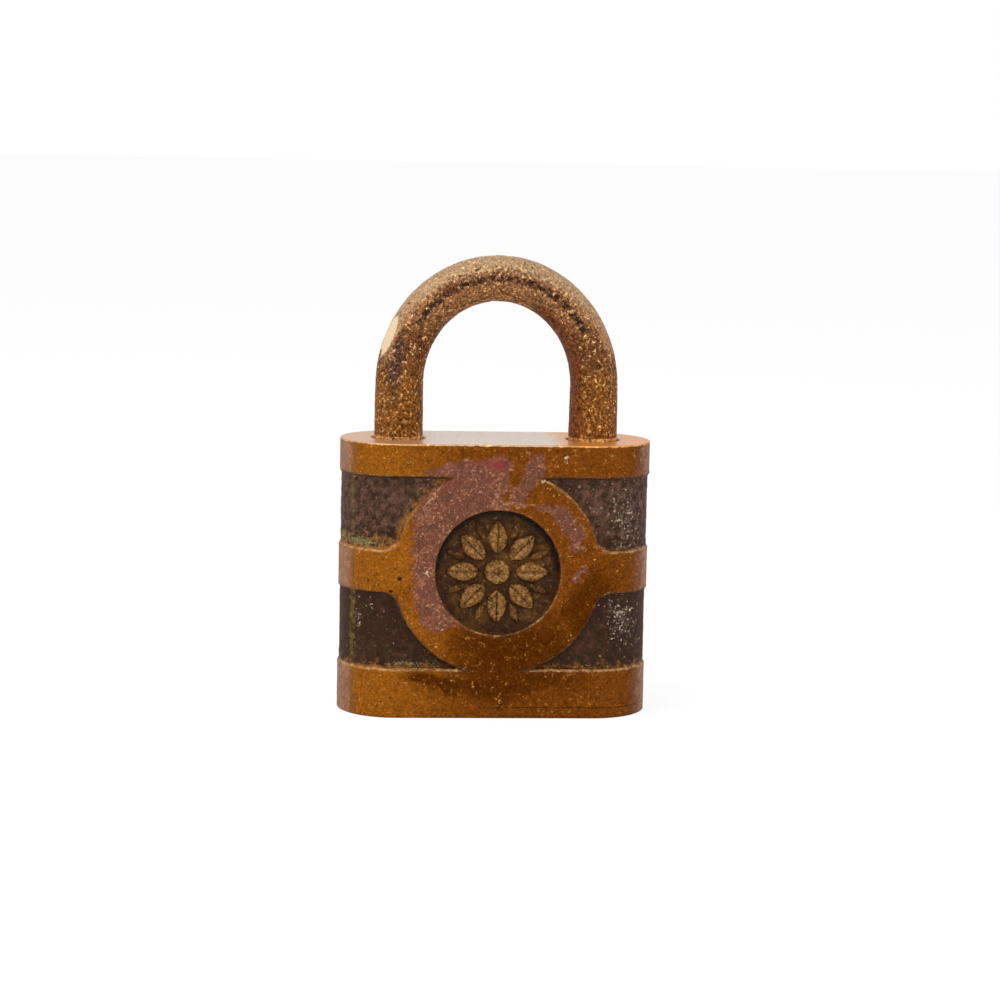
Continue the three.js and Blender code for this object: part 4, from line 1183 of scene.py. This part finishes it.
# Drawn steel, cool grey and a little glossy
spring_wire = turned_metal("drawn_spring_steel", "#8b8984", "#5f5b55", 0.2, 0.3)

for piece, material in (
    (case_body, brass), (base_plate, brass), (shackle_bar, bronze), (pin_end, old_bronze),
):
    set_material(piece, material)
for spring in springs:
    set_material(spring, spring_wire)
dress([f"plate_rivet_{number}" for number in RIVETS], brass)
dress(["plug"], grimy_brass)
dress(["cylinder_shell", "spring_cover", "bolt"], clean_brass)
dress([f"{kind}_pin_{number}" for kind in ("key", "driver") for number in PINS], clean_brass)
dress(["cam"], old_bronze)
dress(["heel_pin", "cam_screw"], spring_wire)


# Floor, light and camera

def make_floor():
    """A white table top. The camera sees it nearly white, with the padlock's faint shadow."""
    reach = 3000
    floor = mesh_object("floor", [
        (-reach, -reach, 0), (reach, -reach, 0), (reach, reach, 0), (-reach, reach, 0),
    ], [(0, 1, 2, 3)])
    material = bpy.data.materials.new("white_table")
    material.use_nodes = True
    tree = material.node_tree
    tree.nodes.clear()
    paper = add_node(tree, "ShaderNodeBsdfDiffuse", Color=srgb("#f3f3f3"))
    white = add_node(tree, "ShaderNodeEmission", Color=srgb("#ffffff"), Strength=1.17)
    path = add_node(tree, "ShaderNodeLightPath")
    seen = add_node(tree, "ShaderNodeMath", {"operation": "MULTIPLY"},
                    Value=path.outputs["Is Camera Ray"], Value_001=0.7)
    both = add_node(tree, "ShaderNodeMixShader", Fac=seen)
    tree.links.new(paper.outputs[0], both.inputs[1])
    tree.links.new(white.outputs[0], both.inputs[2])
    add_node(tree, "ShaderNodeOutputMaterial", Surface=both)
    set_material(floor, material)


def light_scene():
    """The even light of a white tent, a little stronger from above and the left."""
    world = bpy.data.worlds.new("tent")
    bpy.context.scene.world = world
    world.use_nodes = True
    tree = world.node_tree
    tree.nodes.clear()
    path = add_node(tree, "ShaderNodeLightPath")
    seen = add_node(tree, "ShaderNodeMath", {"operation": "MAXIMUM"},
                    Value=path.outputs["Is Camera Ray"], Value_001=path.outputs["Is Glossy Ray"])
    strength = add_node(tree, "ShaderNodeMapRange", Value=seen, To_Min=0.58, To_Max=1.0)
    shader = add_node(tree, "ShaderNodeBackground", Color=srgb("#ffffff"), Strength=strength)
    add_node(tree, "ShaderNodeOutputWorld", Surface=shader)
    for name, place, size, power in (
        ("soft_top", (-0.25, -0.2, 0.55), 0.5, 1.5),
        ("soft_front", (0.35, -0.6, 0.3), 0.5, 0.4),
    ):
        lamp = bpy.data.lights.new(name, "AREA")
        lamp.size = size
        lamp.energy = power
        made = bpy.data.objects.new(name, lamp)
        made.location = place
        toward = Vector((0, 0, 0.03)) - Vector(place)
        made.rotation_euler = toward.to_track_quat("-Z", "Y").to_euler()
        bpy.context.scene.collection.objects.link(made)


# The camera stands half a metre off, to the left and above, and is turned back to the padlock.
# Places are in millimetres and turns in degrees.
CAMERA_X = -43.0
CAMERA_DISTANCE = 500.0
CAMERA_HEIGHT = 105.0
CAMERA_PITCH = 7.97
CAMERA_YAW = 5.022
CAMERA_ROLL = 1.22
FOCAL_LENGTH = 110.7


def place_camera():
    camera = bpy.data.cameras.new("camera")
    camera.sensor_width = 36
    camera.lens = FOCAL_LENGTH
    made = bpy.data.objects.new("camera", camera)
    pitch, yaw, roll = (math.radians(a) for a in (CAMERA_PITCH, CAMERA_YAW, CAMERA_ROLL))
    forward = Vector((
        math.sin(yaw) * math.cos(pitch), math.cos(yaw) * math.cos(pitch), -math.sin(pitch),
    ))
    right = Vector((math.cos(yaw), -math.sin(yaw), 0))
    up = right.cross(forward)
    turned_right = right * math.cos(roll) + up * math.sin(roll)
    turned_up = up * math.cos(roll) - right * math.sin(roll)
    axes = Matrix((turned_right, turned_up, -forward)).transposed()
    place = Vector((CAMERA_X, -CAMERA_DISTANCE, CAMERA_HEIGHT)) / 1000
    made.matrix_world = Matrix.Translation(place) @ axes.to_4x4()
    bpy.context.scene.collection.objects.link(made)
    bpy.context.scene.camera = made


make_floor()
light_scene()
place_camera()
bpy.context.scene.view_settings.view_transform = "Standard"
